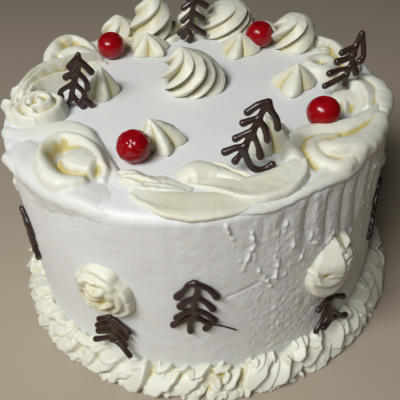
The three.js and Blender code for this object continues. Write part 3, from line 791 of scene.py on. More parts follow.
class Piping:
    """Chocolate building up in a box of small cells. Each cell holds how far it lies outside the skin."""

    def __init__(self, low, high, cell):
        self.cell = cell
        self.low = np.array(low, float) - 4 * cell
        counts = np.ceil((np.array(high, float) + 4 * cell - self.low) / cell).astype(int) + 1
        self.lines = [self.low[k] + cell * np.arange(counts[k]) for k in range(3)]
        self.out = np.full(counts, FAR, np.float32)

    def pipe(self, marks, blend):
        """Lays a round strand through marks of [x, y, z, radius], rounded where it meets what lies there."""
        line = smooth_line(marks, max(self.cell, 0.13 * max(mark[3] for mark in marks)))
        middles, radii = line[:, :3], line[:, 3]
        pad = radii.max() + 2 + blend
        box = span(self.lines, middles.min(axis=0) - pad, middles.max(axis=0) + pad)
        lines = [self.lines[k][box[k]] for k in range(3)]
        own = np.full([len(places) for places in lines], FAR, np.float32)
        for middle, radius in zip(middles, radii):
            reach = radius + 2 + blend
            cut = span(lines, middle - reach, middle + reach)
            gap = [(lines[k][cut[k]] - middle[k]).astype(np.float32) for k in range(3)]
            x, y, z = gap[0][:, None, None], gap[1][None, :, None], gap[2][None, None, :]
            own[cut] = np.minimum(own[cut], np.sqrt(x * x + y * y + z * z) - np.float32(radius))
        self.out[box] = soft_least(self.out[box], own, blend)

    def flatten(self, back):
        """Cuts the strands flat so far behind their middle, where they lay on the sheet."""
        self.out = np.maximum(self.out, -(self.lines[2] + back)).astype(np.float32)

    def skin(self):
        """Points and quads of the skin: one point in every cell that the skin passes through."""
        out = self.out
        inside = out < 0
        counts = tuple(n - 1 for n in out.shape)
        sums = np.zeros((*counts, 3), np.float32)
        hits = np.zeros(counts, np.int16)
        crossings = []
        for axis in range(3):
            first, second = [slice(None)] * 3, [slice(None)] * 3
            first[axis], second[axis] = slice(None, -1), slice(1, None)
            a, b = out[tuple(first)], out[tuple(second)]
            crossed = np.argwhere(inside[tuple(first)] != inside[tuple(second)])
            values = a[tuple(crossed.T)], b[tuple(crossed.T)]
            spot = crossed.astype(np.float32)
            spot[:, axis] += values[0] / (values[0] - values[1])
            others = [k for k in range(3) if k != axis]
            good = np.all([(crossed[:, k] > 0) & (crossed[:, k] < out.shape[k] - 1) for k in others], axis=0)
            crossed, spot = crossed[good], spot[good]
            corners = []
            for back in ((1, 1), (0, 1), (0, 0), (1, 0)):
                cell = crossed.copy()
                cell[:, others[0]] -= back[0]
                cell[:, others[1]] -= back[1]
                np.add.at(sums, tuple(cell.T), spot)
                np.add.at(hits, tuple(cell.T), 1)
                corners.append(cell)
            crossings.append((axis, corners, inside[tuple(first)][tuple(crossed.T)]))
        used = hits > 0
        index = np.full(counts, -1, np.int64)
        index[used] = np.arange(used.sum())
        points = self.low + self.cell * sums[used] / hits[used][:, None]
        quads = []
        for axis, corners, outward in crossings:
            quad = np.stack([index[tuple(cell.T)] for cell in corners], axis=1)
            flip = outward if axis == 1 else ~outward
            quad[flip] = quad[flip][:, ::-1]
            quads.append(quad)
        return points, np.vstack(quads)


def relax(points, quads, share):
    """Evens out the small steps that cells leave in a skin."""
    pairs = np.vstack([quads[:, [k, (k + 1) % 4]] for k in range(4)])
    one, other = pairs.T
    count = np.bincount(one, minlength=len(points)) + np.bincount(other, minlength=len(points))
    total = np.zeros_like(points)
    for k in range(3):
        total[:, k] = np.bincount(one, points[other, k], len(points)) + np.bincount(
            other, points[one, k], len(points)
        )
    return points + share * (total / count[:, None] - points)


def facing(points, quads):
    """The way that each point of a skin faces."""
    corner = points[quads]
    normal = np.cross(corner[:, 2] - corner[:, 0], corner[:, 3] - corner[:, 1])
    total = np.zeros_like(points)
    for k in range(4):
        for axis in range(3):
            total[:, axis] += np.bincount(quads[:, k], normal[:, axis], len(points))
    return total / np.maximum(np.linalg.norm(total, axis=1, keepdims=True), 1e-12)


# Set dark chocolate has a soft gloss that dulls in cloudy patches.
set_chocolate, graph, skin, place = new_finish("set_chocolate", {"Specular IOR Level": 0.5})
patches = cloudy(graph, place, 160.0, 4.0)
graph.links.new(blended(graph, patches, CHOCOLATE_DARK, CHOCOLATE_LIGHT), skin.inputs["Base Color"])
gloss = graph.nodes.new("ShaderNodeMapRange")
gloss.inputs["To Min"].default_value = 0.18
gloss.inputs["To Max"].default_value = 0.38
graph.links.new(patches, gloss.inputs["Value"])
graph.links.new(gloss.outputs["Result"], skin.inputs["Roughness"])


def pipe_tree(name, node, twigs, settle, draw, back, thread=None):
    """Pipes a flat tree from its twigs, each a list of [x, y] places, and stands it where it belongs."""
    strands = []
    for twig in twigs:
        marks = []
        for k, (x, y) in enumerate(twig):
            radius = (BLOB if k == len(twig) - 1 else STROKE) * draw.uniform(0.92, 1.08)
            marks.append([x, y, draw.uniform(-0.15, 0.15), radius])
        strands.append(marks)
    if thread:
        strands.append([[x, y, -0.2, THREAD] for x, y in thread])
    corners = np.vstack([np.array(marks)[:, :3] for marks in strands])
    drawn = Piping(corners.min(axis=0) - 3, corners.max(axis=0) + 3, THREAD_CELL if thread else TREE_CELL)
    for marks in strands:
        drawn.pipe(marks, STRAND_BLEND)
    drawn.flatten(back)
    points, quads = drawn.skin()
    points = relax(points, quads, 0.4)
    points += (TREE_UNEVEN * ripple(points, 3.2, 61))[:, None] * facing(points, quads)
    return set_down(name, settle(points), quads, None, set_chocolate, node)


def standing(at, heading, lean):
    """Stands a flat piece up, face along a heading, its top leaning back."""
    turn, tip = math.radians(heading), math.radians(lean)
    out = np.array([math.cos(turn) * math.cos(tip), math.sin(turn) * math.cos(tip), math.sin(tip)])
    right = np.array([-math.sin(turn), math.cos(turn), 0])
    return lambda points: np.array(at) + points @ np.stack([right, np.cross(out, right), out])


def shaken(twigs, draw, amount, side):
    """The same tree piped again by hand: every mark a little off, and mirrored when side is -1."""
    return [[[side * x + draw.uniform(-amount, amount), y + draw.uniform(-amount, amount)] for x, y in twig]
            for twig in twigs]


tall_tree = [
    [(1, 37.5), (2.2, 33), (0.9, 27), (-0.4, 22), (0.2, 16.5), (-0.7, 12), (-2.9, 7.5), (-3.4, 2)],
    [(0.5, 37.5), (-1.8, 36.5), (-4.5, 32.3), (-8, 28)], [(1.5, 37.5), (7.5, 33), (11, 27)],
    [(0.5, 27), (-3.5, 24.6), (-7, 21)], [(1.2, 28), (5.6, 23.5), (8.7, 18.3)],
    [(0, 19), (-5.9, 15.3), (-9.6, 11.8)], [(0, 15), (-6.7, 9.7), (-11.7, 6.2)],
    [(0.2, 18), (5.1, 15), (9.2, 9.5)], [(-0.5, 13), (4.1, 9.5), (6.5, 6.4), (4.6, 3.4)],
]
tall_thread = [(6.5, 6.6), (12.9, 3.9), (19.8, -0.7)]
tall_places = (
    ("front", -94, 0.0, 1), ("front_right", -24, 0.7, 1), ("right", 34, 0.7, -1),
    ("back", 90, 0.7, 1), ("left_back", 146, 0.7, -1), ("front_left", -157, 0.7, 1),
)
for count, (place, heading, amount, side) in enumerate(tall_places):
    tree_draw = np.random.default_rng(70 + count)

    def pressed_on(points, heading=heading):
        return on_wall(heading, TREE_HEIGHT)(points + np.array([0, 0, TREE_PROUD]))

    pipe_tree(
        f"tree_{place}", f"tree_wall_{place}", shaken(tall_tree, tree_draw, amount, side), pressed_on,
        tree_draw, 1.3, thread=tall_thread if place == "front" else None,
    )

comb_tree = [
    [(-2.4, 24.5), (0.2, 19.3), (0.3, 13.5), (-2.1, 8)],
    [(-1.9, 24.2), (-8.9, 20)], [(-1.1, 19.5), (-10.4, 15)], [(-0.8, 15.2), (-10.2, 11)],
    [(-2, 9.5), (-13, 3.3)], [(-1.4, 24.3), (9.3, 18)], [(0.8, 19.6), (7.1, 12.7)], [(-0.2, 14.8), (6, 7)],
    [(-2.1, 8.8), (3.4, 5.9), (8.6, 0.2)],
]
bent_tree = [
    [(3.3, 17.7), (1.2, 12.1), (2.0, 4)], [(2.5, 17), (7, 16), (12.5, 12)],
    [(3, 17), (-1, 17.2), (-6.7, 15)], [(1, 12.5), (-4, 6.5), (-9.3, 0.9)],
    [(1.4, 9.9), (2.2, 2), (-3.5, -0.5)], [(1.4, 11), (6, 5), (10.3, -1), (13.6, -3)],
    [(2.2, 1.5), (8, 0.0), (13.4, -3)],
]
low_places = (
    ("front_left", -118, comb_tree, 0.0, 1), ("front_right", -55, bent_tree, 0.0, 1),
    ("right", 5, comb_tree, 0.7, -1), ("right_back", 62, bent_tree, 0.7, -1),
    ("back", 118, comb_tree, 0.7, 1), ("left", 175, comb_tree, 0.8, -1),
)
for count, (place, heading, twigs, amount, side) in enumerate(low_places):
    tree_draw = np.random.default_rng(80 + count)
    turn = math.radians(heading)
    foot = (LOW_TREE_DISTANCE * math.cos(turn), LOW_TREE_DISTANCE * math.sin(turn), LOW_TREE_HEIGHT)
    pipe_tree(
        f"low_tree_{place}", f"tree_low_{place}", shaken(twigs, tree_draw, amount, side),
        standing(foot, heading, LOW_TREE_LEAN), tree_draw, 1.1,
    )

# Front ribbons: three flat ribbons of cream laid one over the next along the front edge with a wide petal
# nozzle, each hollow along its middle and ending in a thin rolled lip, and a small smooth dollop behind.
TOP_CELL = 0.58
TOP_WAVES = (0.28, 0.12)
RIBBON = ((-1.25, -6), (-1.05, -2.2), (-0.95, -0.9), (-0.6, -0.1), (-0.1, -0.25), (0.4, -0.15),
          (0.75, 0.45), (0.9, 0.6), (1, 0.1), (1.06, -1.2), (1.14, -4), (1.3, -9))
SLOPED = ((-1.25, -5), (-1.05, -0.6), (-0.9, 0.5), (-0.5, 0.8), (0, 0.5), (0.45, 0.3), (0.75, 0.7),
          (0.9, 0.9), (0.98, 0.5), (1.04, -0.8), (1.1, -3), (1.2, -7))
RIM_START = WALL_RADIUS - EDGE_ROUND
RIM_END = RIM_START + EDGE_ROUND * math.pi / 2


def unrolled(mark):
    """A mark of [x, y, height, half width] on or over the rim, as if the rim and wall were laid out flat."""
    x, y, lift, wide = mark
    far = math.hypot(x, y)
    if far <= RIM_START:
        return [x, y, lift, wide]
    turn = math.atan2(far - RIM_START, lift + EDGE_ROUND)
    if turn < math.pi / 2:
        out = RIM_START + EDGE_ROUND * turn
        proud = math.hypot(far - RIM_START, lift + EDGE_ROUND) - EDGE_ROUND
    else:
        out, proud = RIM_END - EDGE_ROUND - lift, far - WALL_RADIUS
    return [x * out / far, y * out / far, proud, wide]


def to_top(points):
    """Lifts points to the cake's top and bends them round its rim and down its wall."""
    x, y, proud = points.T
    far = np.hypot(x, y)
    turn = np.clip((far - RIM_START) / EDGE_ROUND, 0, math.pi / 2)
    out = np.where(far < RIM_START, far, RIM_START + (EDGE_ROUND + proud) * np.sin(turn))
    lift = (EDGE_ROUND + proud) * np.cos(turn) - EDGE_ROUND - np.maximum(far - RIM_END, 0)
    far = np.maximum(far, 1)
    return np.stack([x * out / far, y * out / far, CAKE_HEIGHT + lift], axis=1)


def topping(
    name, node, low, high, bands, waver, waves, seed, pits=(), soft=1, thin=None, shades=(), cell=TOP_CELL
):
    """A piece on the top, from bands of [marks, section] and maybe how deep, laid one over the next, with
    pits and spots of painted yellow shade of [place, amount, width]."""
    relief = Relief(low, high, cell, waver, seed)
    for marks, section, *deep in bands:
        relief.lay([unrolled(mark) for mark in marks], section, *deep)
    for pit in pits:
        relief.press(*pit)
    for shade in shades:
        relief.shade(*shade)
    return pressed(name, node, relief, waves, seed + 4, to_top, soft, thin)


topping("ribbon_left", "ribbon_front_left", (-44, -96), (4, -64), [
    ([(-36, -77, 2, 3), (-28, -80, 2.6, 5.5), (-18, -83.5, 2.4, 6), (-6, -88, 1.4, 3.5)], RIBBON),
    ([(-37, -72, 3, 1.4), (-31, -74.5, 4.6, 2.2), (-24, -78.5, 4.2, 1.8), (-17, -81.5, 3, 1.2)], PETAL),
    ([(-35, -75.5, 4, 1.4), (-28, -78.5, 5.2, 2.0), (-20, -82, 4, 1.3)], PETAL),
    ([(-38, -76, 2.6, 1.2), (-34, -79.5, 4.4, 1.8), (-27, -83, 4, 1.3)], PETAL),
    ([(-26, -82, 3.4, 1.2), (-18, -85, 3.6, 1.6), (-9, -88, 2.4, 1.0)], PETAL),
], 0.9, (0.3, 0.2), 301)
topping("ribbon_middle", "ribbon_front", (-44, -118), (36, -80), [
    ([(-31, -87, 1.0, 3), (-24, -92, 1.4, 6), (-15, -96.2, 1.4, 8.2), (-5, -98.8, 1.2, 8.8),
      (5, -99.4, 1.0, 8), (14, -100, 0.6, 6), (24, -100.5, 0, 2.8)], SLOPED),
], 0.5, TOP_WAVES, 311, shades=(((-12, -97), 0.24, 12.0), ((6, -99), 0.24, 12.0)))
topping("ribbon_right", "ribbon_front_right", (-12, -112), (60, -68), [
    ([(-4, -82, 0.8, 3), (5, -84.5, 1.6, 5), (13, -87.5, 2.2, 7), (21, -90, 2.4, 8.6),
      (29.5, -90, 2.8, 9.6), (38, -86.5, 3.4, 9), (44.5, -80.5, 4, 6.6), (48, -74.5, 4.2, 3.6)], RIBBON),
], 0.4, TOP_WAVES, 321, shades=(((14, -89), 0.2, 10.0), ((30, -90), 0.2, 10.0)))
topping("dollop_front", "kiss_front", (-16, -96), (34, -60), [
    ([(-8, -78, 3.4, 4), (-3, -76, 5.6, 5.6), (3, -76, 5.4, 5.2), (10, -79.5, 3.6, 3.6),
      (18, -85, 2.4, 2.2)], DOME),
    ([(0, -71, 2.6, 1.4), (8, -74, 3.4, 1.8), (16, -80, 3, 1.8), (23, -85.5, 2, 1.2)], PETAL),
    ([(2, -67.5, 1.8, 1.2), (10, -70.5, 2.6, 1.6), (18, -76.5, 2.2, 1.5), (25, -82, 1.6, 1.1)], PETAL),
    ([(6, -75.5, 3.4, 1.2), (13, -79, 3.6, 1.8), (21, -84.5, 2.4, 1.3)], PETAL),
], 0.7, TOP_WAVES, 331)

# Front left swirl: one thick smooth strand coiled down on itself into an open rose, and the skirt of cream
# below it that the knife drew flush with the wall and over the ends of the ribbons.
ROLL = ((-1.6, -9), (-1.2, -4.2), (-1, -2.4), (-0.7, -0.9), (-0.3, -0.15), (0, 0), (0.3, -0.15),
        (0.7, -0.9), (1, -2.4), (1.2, -4.2), (1.6, -9))
SLOPE = ((-1.3, -5), (-1, -2.4), (-0.6, -0.8), (-0.2, -0.1), (0.1, 0), (0.5, -0.4), (0.9, -1.0),
         (1.3, -1.7), (1.7, -2.6), (2.1, -4.4))
SKIRT = ((-1.3, -4), (-1.1, -1.8), (-0.8, -0.7), (-0.3, 0), (0.3, 0), (0.7, -0.4), (0.92, -1.0),
         (1.06, -2.0), (1.2, -4))
BROAD = ((-0.75, -7), (-0.5, -3.2), (-0.32, -1.2), (-0.15, -0.25), (0, 0), (0.3, -0.25), (0.7, -1.2),
         (1.1, -2.8), (1.5, -5.5), (1.8, -9))
COIL = ((-2.3, -9), (-1.9, -6.6), (-1.45, -4), (-0.9, -1.6), (-0.4, -0.3), (0, 0), (0.35, -0.25),
        (0.75, -1.4), (1.05, -3.4), (1.35, -7), (1.6, -10))
SHELF = ((-1.4, -8), (-1.1, -3.6), (-0.9, -1.8), (-0.5, -0.5), (0, 0), (0.5, -0.25), (0.8, -1),
         (0.95, -2), (1.04, -4), (1.15, -9))


def skirt(headings, lift, wide):
    """A thin spread of cream over the rim: its headings in degrees, greatest thickness and half width."""
    count = len(headings) - 1
    return [
        (RIM_END * math.cos(math.radians(heading)) * 0.97,
         RIM_END * math.sin(math.radians(heading)) * 0.97,
         lift * (0.2 + 0.8 * math.sin(math.pi * (0.1 + 0.8 * k / count))) - 4.2, wide)
        for k, heading in enumerate(headings)
    ]


topping("swirl_open_left", "swirl_front_left", (-120, -120), (-18, -14), [
    (skirt((-166, -156, -146, -136, -126, -116, -106), 1.1, 14), SKIRT),
    ([(-66, -58, 1.6, 16), (-56, -68, 1.6, 16)], DOME, 0.7),
    ([(-90, -38, 1.2, 9), (-84, -50, 1.6, 13), (-76, -62, 1.8, 15), (-65, -73, 1.8, 15),
      (-53, -81, 1.4, 13), (-44, -87, 0.4, 10.5), (-36, -92, -1, 8.5), (-29, -96, -3, 7)], SLOPE),
    ([(-106, -21, -1, 6), (-96, -25.5, 1.6, 8), (-86, -27, 3, 9), (-77, -26, 4, 9.5),
      (-67, -27, 4.6, 9.5), (-58, -34.5, 4.6, 9), (-51.5, -48, 4, 8), (-44.5, -62, 3.2, 7.5),
      (-38, -75, 1.8, 7.5), (-31, -88, -0.6, 7), (-25, -97, -4, 5)], BROAD),
    ([(-46.4, -76, 2.8, 2.6), (-45.8, -70.5, 6, 2.9), (-47.4, -65, 8.2, 3.1), (-50.4, -58.6, 9.2, 3.2),
      (-54.8, -52.4, 9.6, 3.2), (-60, -47.4, 9.8, 3.1), (-65.8, -44.8, 9.8, 3.0),
      (-71.2, -45.6, 9.8, 3.0), (-75.2, -50, 9.6, 3.0), (-76.6, -56.8, 9.2, 3.1), (-75.6, -64, 8.6, 3.2),
      (-73, -69.8, 7.8, 3.4), (-69.2, -74.2, 7, 3.6), (-64.6, -77, 6.4, 3.8), (-59.6, -78, 5.8, 3.8),
      (-55.4, -77.2, 5, 3.2)], COIL),
    ([(-66.4, -60, 5.6, 4.6), (-62, -61.4, 8, 7.2), (-56.4, -63.8, 9, 8.8), (-50.6, -66.2, 8, 8)], SHELF),
    ([(-104, -40, -7, 3), (-100.5, -47, -4.4, 4), (-95, -55, -4.4, 3.6), (-91, -60, -6, 2.4)], ROLL),
], 0.5, (0.3, 0.1), 341, soft=2, thin=(1.2, 4.0), pits=(
    ((-70, -58), 2.8, 3.6), ((-48.2, -73), 2.4, 2.2),
), shades=(
    ((-71.8, -57), 0.85, 4.4), ((-70.5, -62.5), 0.6, 3.2), ((-67, -53), 0.5, 3.0),
    ((-48.4, -72.6), 0.6, 2.4),
))

# Left swirl: a rope from a star nozzle along the edge, with sharp ridges and flat hollow sides, that ends in
# a rose of thin petals wrapped round a bud.
ROOF = ((-2.4, -10), (-1.6, -6), (-1, -3.4), (-0.5, -1.4), (-0.1, -0.1), (0.1, -0.1), (0.5, -1.4),
        (1, -3.4), (1.6, -6), (2.4, -10))
CUP = ((-2.4, -9), (-1.6, -5.2), (-1, -2.6), (-0.4, -0.8), (0.15, 0), (0.5, -0.3), (0.8, -1.6),
       (1.1, -4.5), (1.4, -9))
bud = (-84.5, -10.5)
topping("swirl_rose_left", "swirl_left", (-122, -46), (-50, 66), [
    (skirt((152, 162, 172, 182, 192, 200), 1.4, 9), SKIRT),
    ([(-66, 38, 2, 7), (-79, 33, 3, 9), (-89, 22, 3, 9), (-93, 6, 3, 9)], DOME, 0.8),
    ([(-68, 54, 2.6, 2.6), (-79, 48, 6, 3.4), (-88, 41, 8, 3.8), (-94.5, 30, 9, 3.8), (-98, 19, 9.2, 3.6),
      (-99.6, 7, 8.4, 3.2), (-99.8, -2, 6.4, 2.8)], ROOF),
    ([(-58, 52.5, 5, 2.4), (-68, 46, 9.4, 3.0), (-77, 38.2, 11.4, 3.4), (-84.2, 30.8, 12, 3.5),
      (-89.4, 23.8, 12, 3.4), (-94, 14, 11.4, 3.2), (-96.4, 3, 10, 2.8)], ROOF),
    ([(-61, 35, 3.4, 2.2), (-70.4, 29.4, 6.6, 2.9), (-78.6, 24.4, 8.4, 3.2), (-85, 19, 9.2, 3.1),
      (-90.4, 12.4, 9.4, 2.8), (-93, 4, 9, 2.5)], ROOF),
    ([(-87, -9, 3, 11), (-83, -10.5, 3, 11)], DOME, 0.9),
    (around((-87, -5), 14.6, 110, 250, 7.4, 4.6, 3.2, bulge=0.8), CUP),
    (around(bud, 12.2, 100, 258, 9.4, 6.6, 3.0, bulge=0.8), CUP),
    (around(bud, 9.8, -120, 112, 7.8, 9.6, 3.2, bulge=0.7), CUP),
    (around(bud, 7.6, 66, 246, 11.2, 10, 2.6, bulge=0.6), CUP),
    (around(bud, 5.4, -108, 176, 11, 11.8, 2.3), CUP),
    ([(bud[0] - 1.2, bud[1] + 2, 10.8, 2.4), (bud[0] + 0.8, bud[1] - 1.6, 11.6, 2.4)], DOME, 0.9),
    ([(-98, 9, 8, 1.0), (-101.5, 9.8, 11, 0.45)], ROOF),
    ([(-101, -3, 5, 1.2), (-106, -2, 9.6, 0.5)], ROOF),
    ([(-106, -10, -4, 3.4), (-102, -20, -3, 4), (-96, -26, -1.4, 3.6), (-89, -28, -0.4, 3)], ROLL),
], 0.5, (0.25, 0.16), 361, thin=(0.8, 3.0), shades=(
    ((-68, 38), 0.5, 3.6), ((-74, 33), 0.6, 3.6), ((-80, 28), 0.6, 3.4), ((-86, 22), 0.55, 3.2),
    ((-91, 14), 0.5, 3.0), ((-83, 39), 0.4, 3.0), ((-90, 30), 0.4, 3.0), ((-95, 20), 0.4, 2.8),
    ((-66, 30), 0.5, 3.6), ((-74, 22), 0.5, 3.4),
))

# Back left swirl: a short strand of the same cream turned back round its own end beside the cherry, with a
# hollow left in the middle and a low tail that runs in behind the tree.
topping("swirl_hook_left", "swirl_back_left", (-104, 34), (-48, 92), [
    ([(-80, 60, 2.4, 12), (-68, 58, 2.4, 10)], DOME, 0.8),
    ([(-59, 57, 3.6, 2.4), (-62.4, 61, 6.4, 2.7), (-66.4, 65, 8.8, 2.8), (-72.4, 69.6, 10.2, 2.9),
      (-79.6, 72.4, 10.6, 3), (-85.4, 69, 10.4, 3), (-88.4, 61, 9.6, 3.1), (-89, 53.5, 7.6, 3.2),
      (-88, 45, 5, 3.2)], COIL),
    ([(-61, 55, 4.6, 3.4), (-68, 57, 7.4, 4.6), (-75, 57.6, 8.2, 5), (-82, 53, 6.6, 4)], SHELF),
    ([(-54, 47, 2, 3.4), (-62, 46, 3.6, 4.6), (-70, 44, 4, 4.6)], DOME),
], 0.5, TOP_WAVES, 385, pits=(((-80.5, 62.5), 1.8, 2.4),), soft=3, shades=(
    ((-80, 63), 0.6, 3.6), ((-73, 63), 0.5, 3.0),
))

# Back swirls and kisses: roses along the back edge, on a low bed of cream with torn folds, and single drops
# inside the ring, all from an open star nozzle. A kiss is pressed out and pulled straight up to a sharp tip.
# A rose is turned as it rises, so that its lobes wind round it with a deep narrow groove between them.
KISS_SHAPE = ((0.78, -0.10), (0.96, 0.02), (1.0, 0.12), (0.95, 0.25), (0.80, 0.42), (0.58, 0.60),
              (0.35, 0.77), (0.15, 0.91), (0.03, 1.0))
ROSE_SHAPE = ((0.82, -0.10), (0.97, 0.02), (1.0, 0.14), (0.98, 0.32), (0.89, 0.52), (0.70, 0.70),
              (0.46, 0.84), (0.22, 0.94), (0.03, 1.0))
BROAD_SHAPE = ((0.84, -0.12), (0.98, 0.04), (1.0, 0.22), (0.98, 0.46), (0.90, 0.68), (0.74, 0.84),
               (0.48, 0.95), (0.22, 0.99), (0.02, 1.0))
LOBE_COLUMNS = 18
KISS_CUT = 0.44
KISS_UNEVEN = 0.14
BED_CELL = 0.85
BED_WAVES = (0.35, 0.25)


def each(values):
    """A value of each lobe, given to every column of that lobe."""
    return np.repeat(values, LOBE_COLUMNS)


def drop(
    name, node, at, radius, height, lobes, depth, start, twist=12, crest=0.5, lean=(0, 0),
    shape=KISS_SHAPE, ribs=0.0, uneven=0.07, seed=1,
):
    """A drop of cream on the top: start is the heading of its first groove, twist how far its lobes wind,
    crest where each lobe stands highest across its width, and depth the cut between lobes."""
    draw = np.random.default_rng(seed)
    line = smooth_line([[across, up, 0, 1] for across, up in shape], 0.027)
    share = np.tile(np.arange(LOBE_COLUMNS) / LOBE_COLUMNS, lobes)
    widths = 1 + draw.uniform(-3, 3, lobes) * uneven
    begins = (np.cumsum(widths) - widths) / widths.sum()
    round_way = 2 * np.pi * (each(begins) + share * each(widths / widths.sum()))
    tops = each(np.clip(crest + draw.uniform(-1.6, 1.6, lobes) * uneven, 0.22, 0.84))
    warped = np.where(share < tops, 0.5 * share / tops, 0.5 + 0.5 * (share - tops) / (1 - tops))
    sharp = np.minimum(2 * warped, 2 - 2 * warped)
    keen = each(draw.uniform(0, 1, lobes))
    bulge = (1 - keen) * (0.5 * np.sin(np.pi * warped) ** 0.7 + 0.5 * sharp ** 0.85) + keen * sharp ** 0.95
    swell = 1 + each(draw.uniform(-uneven, uneven, lobes)) * bulge
    crease_shade = []

    def ring(row, heading):
        across, up = max(line[row, 0], 0.01), line[row, 1]
        rise = min(max(up, 0), 1)
        cut = depth * (1 - rise ** 4) * (0.75 + 0.25 * fade(up, 0, 0.2))
        angle = math.radians(start) + heading + math.radians(twist) * rise ** 0.85
        far = radius * across * swell * (1 - cut * (1 - bulge))
        far = far + ribs * np.sin(5 * 2 * np.pi * share) * fade(rise, 0, 0.1) * (1 - rise)
        spot = np.stack([
            at[0] + lean[0] * rise ** 2 + far * np.cos(angle),
            at[1] + lean[1] * rise ** 2 + far * np.sin(angle),
            np.full_like(far, CAKE_HEIGHT + up * height),
        ], axis=1)
        waves = 0.4 * ripple(spot, 7.0, seed) + (0.12 + 0.3 * bulge ** 3) * ripple(spot, 3.0, seed + 1)
        spot[:, 0] += waves * np.cos(angle) * min(1, across * 3)
        spot[:, 1] += waves * np.sin(angle) * min(1, across * 3)
        spot[:, 2] += 0.6 * waves * rise
        # Painted shade: yellower down the grooves between lobes, fading out towards the tip.
        crease_shade.append(0.95 * (1 - bulge) ** 1.8 * (1 - rise ** 4) * fade(depth, 0, 0.3))
        return spot

    mesh = ring_mesh(name, len(line), round_way, ring)
    return place_piece(name, mesh, piped_finish, node, np.concatenate(crease_shade))


topping("bed_back_left", "swirl_back", (-80, 50), (10, 116), [
    ([(-66, 66, 2.4, 5), (-53, 77, 4.2, 8), (-37, 86, 5, 9), (-18, 91, 5, 9),
      (-4, 92, 3.4, 7)], DOME, 0.8),
    ([(-64, 60, 2.6, 1.6), (-57, 66, 5, 2.4), (-47, 72, 6.4, 2.6), (-38, 73, 5.4, 2.2)], PETAL),
    ([(-55, 61, 2, 1.4), (-49, 67, 4.4, 2.2), (-41, 69, 4.6, 2.0), (-35, 67, 3, 1.4)], PETAL),
    ([(-18, 70, 2, 1.4), (-11, 73, 4, 2.2), (-4, 78, 4.6, 2.0)], PETAL),
], 0.8, BED_WAVES, 391, shades=(((-42, 72), 0.5, 6.0), ((-12, 76), 0.4, 5.0)), cell=BED_CELL)
topping("bed_back_right", "swirl_back_middle", (-12, 50), (84, 116), [
    ([(0, 92, 3.4, 7), (18, 92, 5, 9), (37, 87, 5, 9), (53, 77, 4.4, 8), (62, 69, 2.6, 5)], DOME, 0.8),
    ([(-4, 76, 2, 1.4), (3, 74, 3.6, 2.0), (11, 76, 3.2, 1.6)], PETAL),
    ([(34, 70, 2.6, 1.6), (42, 70, 4.6, 2.4), (50, 66, 5, 2.4), (56, 60, 3.6, 1.8)], PETAL),
    ([(38, 76, 4.6, 2.0), (47, 73, 6, 2.4), (55, 67, 5, 2.0)], PETAL),
], 0.8, BED_WAVES, 395, shades=(((45, 72), 0.4, 6.0),), cell=BED_CELL)
drop("swirl_tall_back", "swirl_back", (-25, 81), 15.5, 30, 4, 0.34, -60, twist=230, crest=0.62,
     lean=(5, -1), shape=ROSE_SHAPE, seed=131)
drop("swirl_low_back", "swirl_back", (-46, 82), 12.5, 17, 5, 0.30, 10, twist=80, crest=0.6,
     shape=ROSE_SHAPE, seed=133)
drop("swirl_ribbed_back", "swirl_back_middle", (25, 81), 16, 20.5, 7, 0.20, 10, twist=150, crest=0.7,
     lean=(3, 0), shape=BROAD_SHAPE, ribs=0.12, uneven=0.14, seed=135)
drop("swirl_behind_back", "swirl_back_middle", (4, 86), 12.5, 18, 6, 0.28, 0, twist=60, shape=ROSE_SHAPE,
     ribs=0.3, seed=137)
drop("swirl_round_back", "swirl_back_right", (66, 52), 14, 20, 5, 0.38, -60, twist=135, crest=0.66,
     lean=(1, 1), shape=BROAD_SHAPE, uneven=0.1, seed=139)
kisses = (
    ("left", (-53, 9), 11.6, 17.5, 5, -45, (2, 0)),
    ("back_left", (-26.5, 61), 13.2, 12.5, 5, -88, (0, 0)),
    ("back_right", (31.5, 51), 14.6, 12, 4, -82, (1, 0)),
    ("right", (58, 3), 15.2, 12.5, 4, -72, (2, 0)),
    ("front_right", (33.5, -55), 14, 17, 4, -70, (0, 0)),
    ("front_left", (-19, -47), 12.4, 15, 5, -40, (-4, 0)),
)
for count, (place, at, radius, height, lobes, start, lean) in enumerate(kisses):
    drop(
        f"drop_{place}", f"kiss_{place}", at, radius, height, lobes, KISS_CUT, start, lean=lean,
        uneven=KISS_UNEVEN, seed=141 + 2 * count,
    )
drop("swirl_middle", "swirl_centre", (0, 9), 17, 25.5, 7, 0.40, -75, twist=150, crest=0.76, lean=(-5, -1),
     shape=ROSE_SHAPE, ribs=0.25, uneven=0.16, seed=155)

# Right swirls: a flat rosette with a pit where the nozzle was lifted, a soft blob behind it, and a strand
# that runs round the edge past the tree to a smooth smear.
topping("swirl_dot_right", "swirl_right_back", (58, -8), (118, 70), [
    ([(72, 14, 2.4, 11.5), (79, 15.5, 2.4, 11.5)], DOME, 0.9),
    (around((75.5, 15), 6.4, -40, 200, 7.2, 8.2, 4.4), COIL, 0.7),
    (around((75.5, 15), 6.0, 180, 350, 8.0, 7.0, 4.4), COIL, 0.7),
    ([(77, 34, 5.4, 6.6), (80, 31, 7, 6.6), (82, 29, 6, 5)], DOME),
    ([(80, 58, 3, 4), (86, 47, 4.6, 5.4), (90, 35, 5.6, 6), (93, 24, 6, 6), (94, 13, 4.6, 5.4),
      (89, 4, 2.6, 4)], SHELF),
    ([(82, 54, 5, 1.8), (87, 43.5, 7.4, 2.8), (90.5, 31, 8.4, 2.8), (92, 18, 6.6, 1.8)], PETAL),
], 0.5, TOP_WAVES, 401, pits=(((75.5, 15), 3.4, 1.1), ((80, 31), 2.0, 1.0)), cell=0.6)
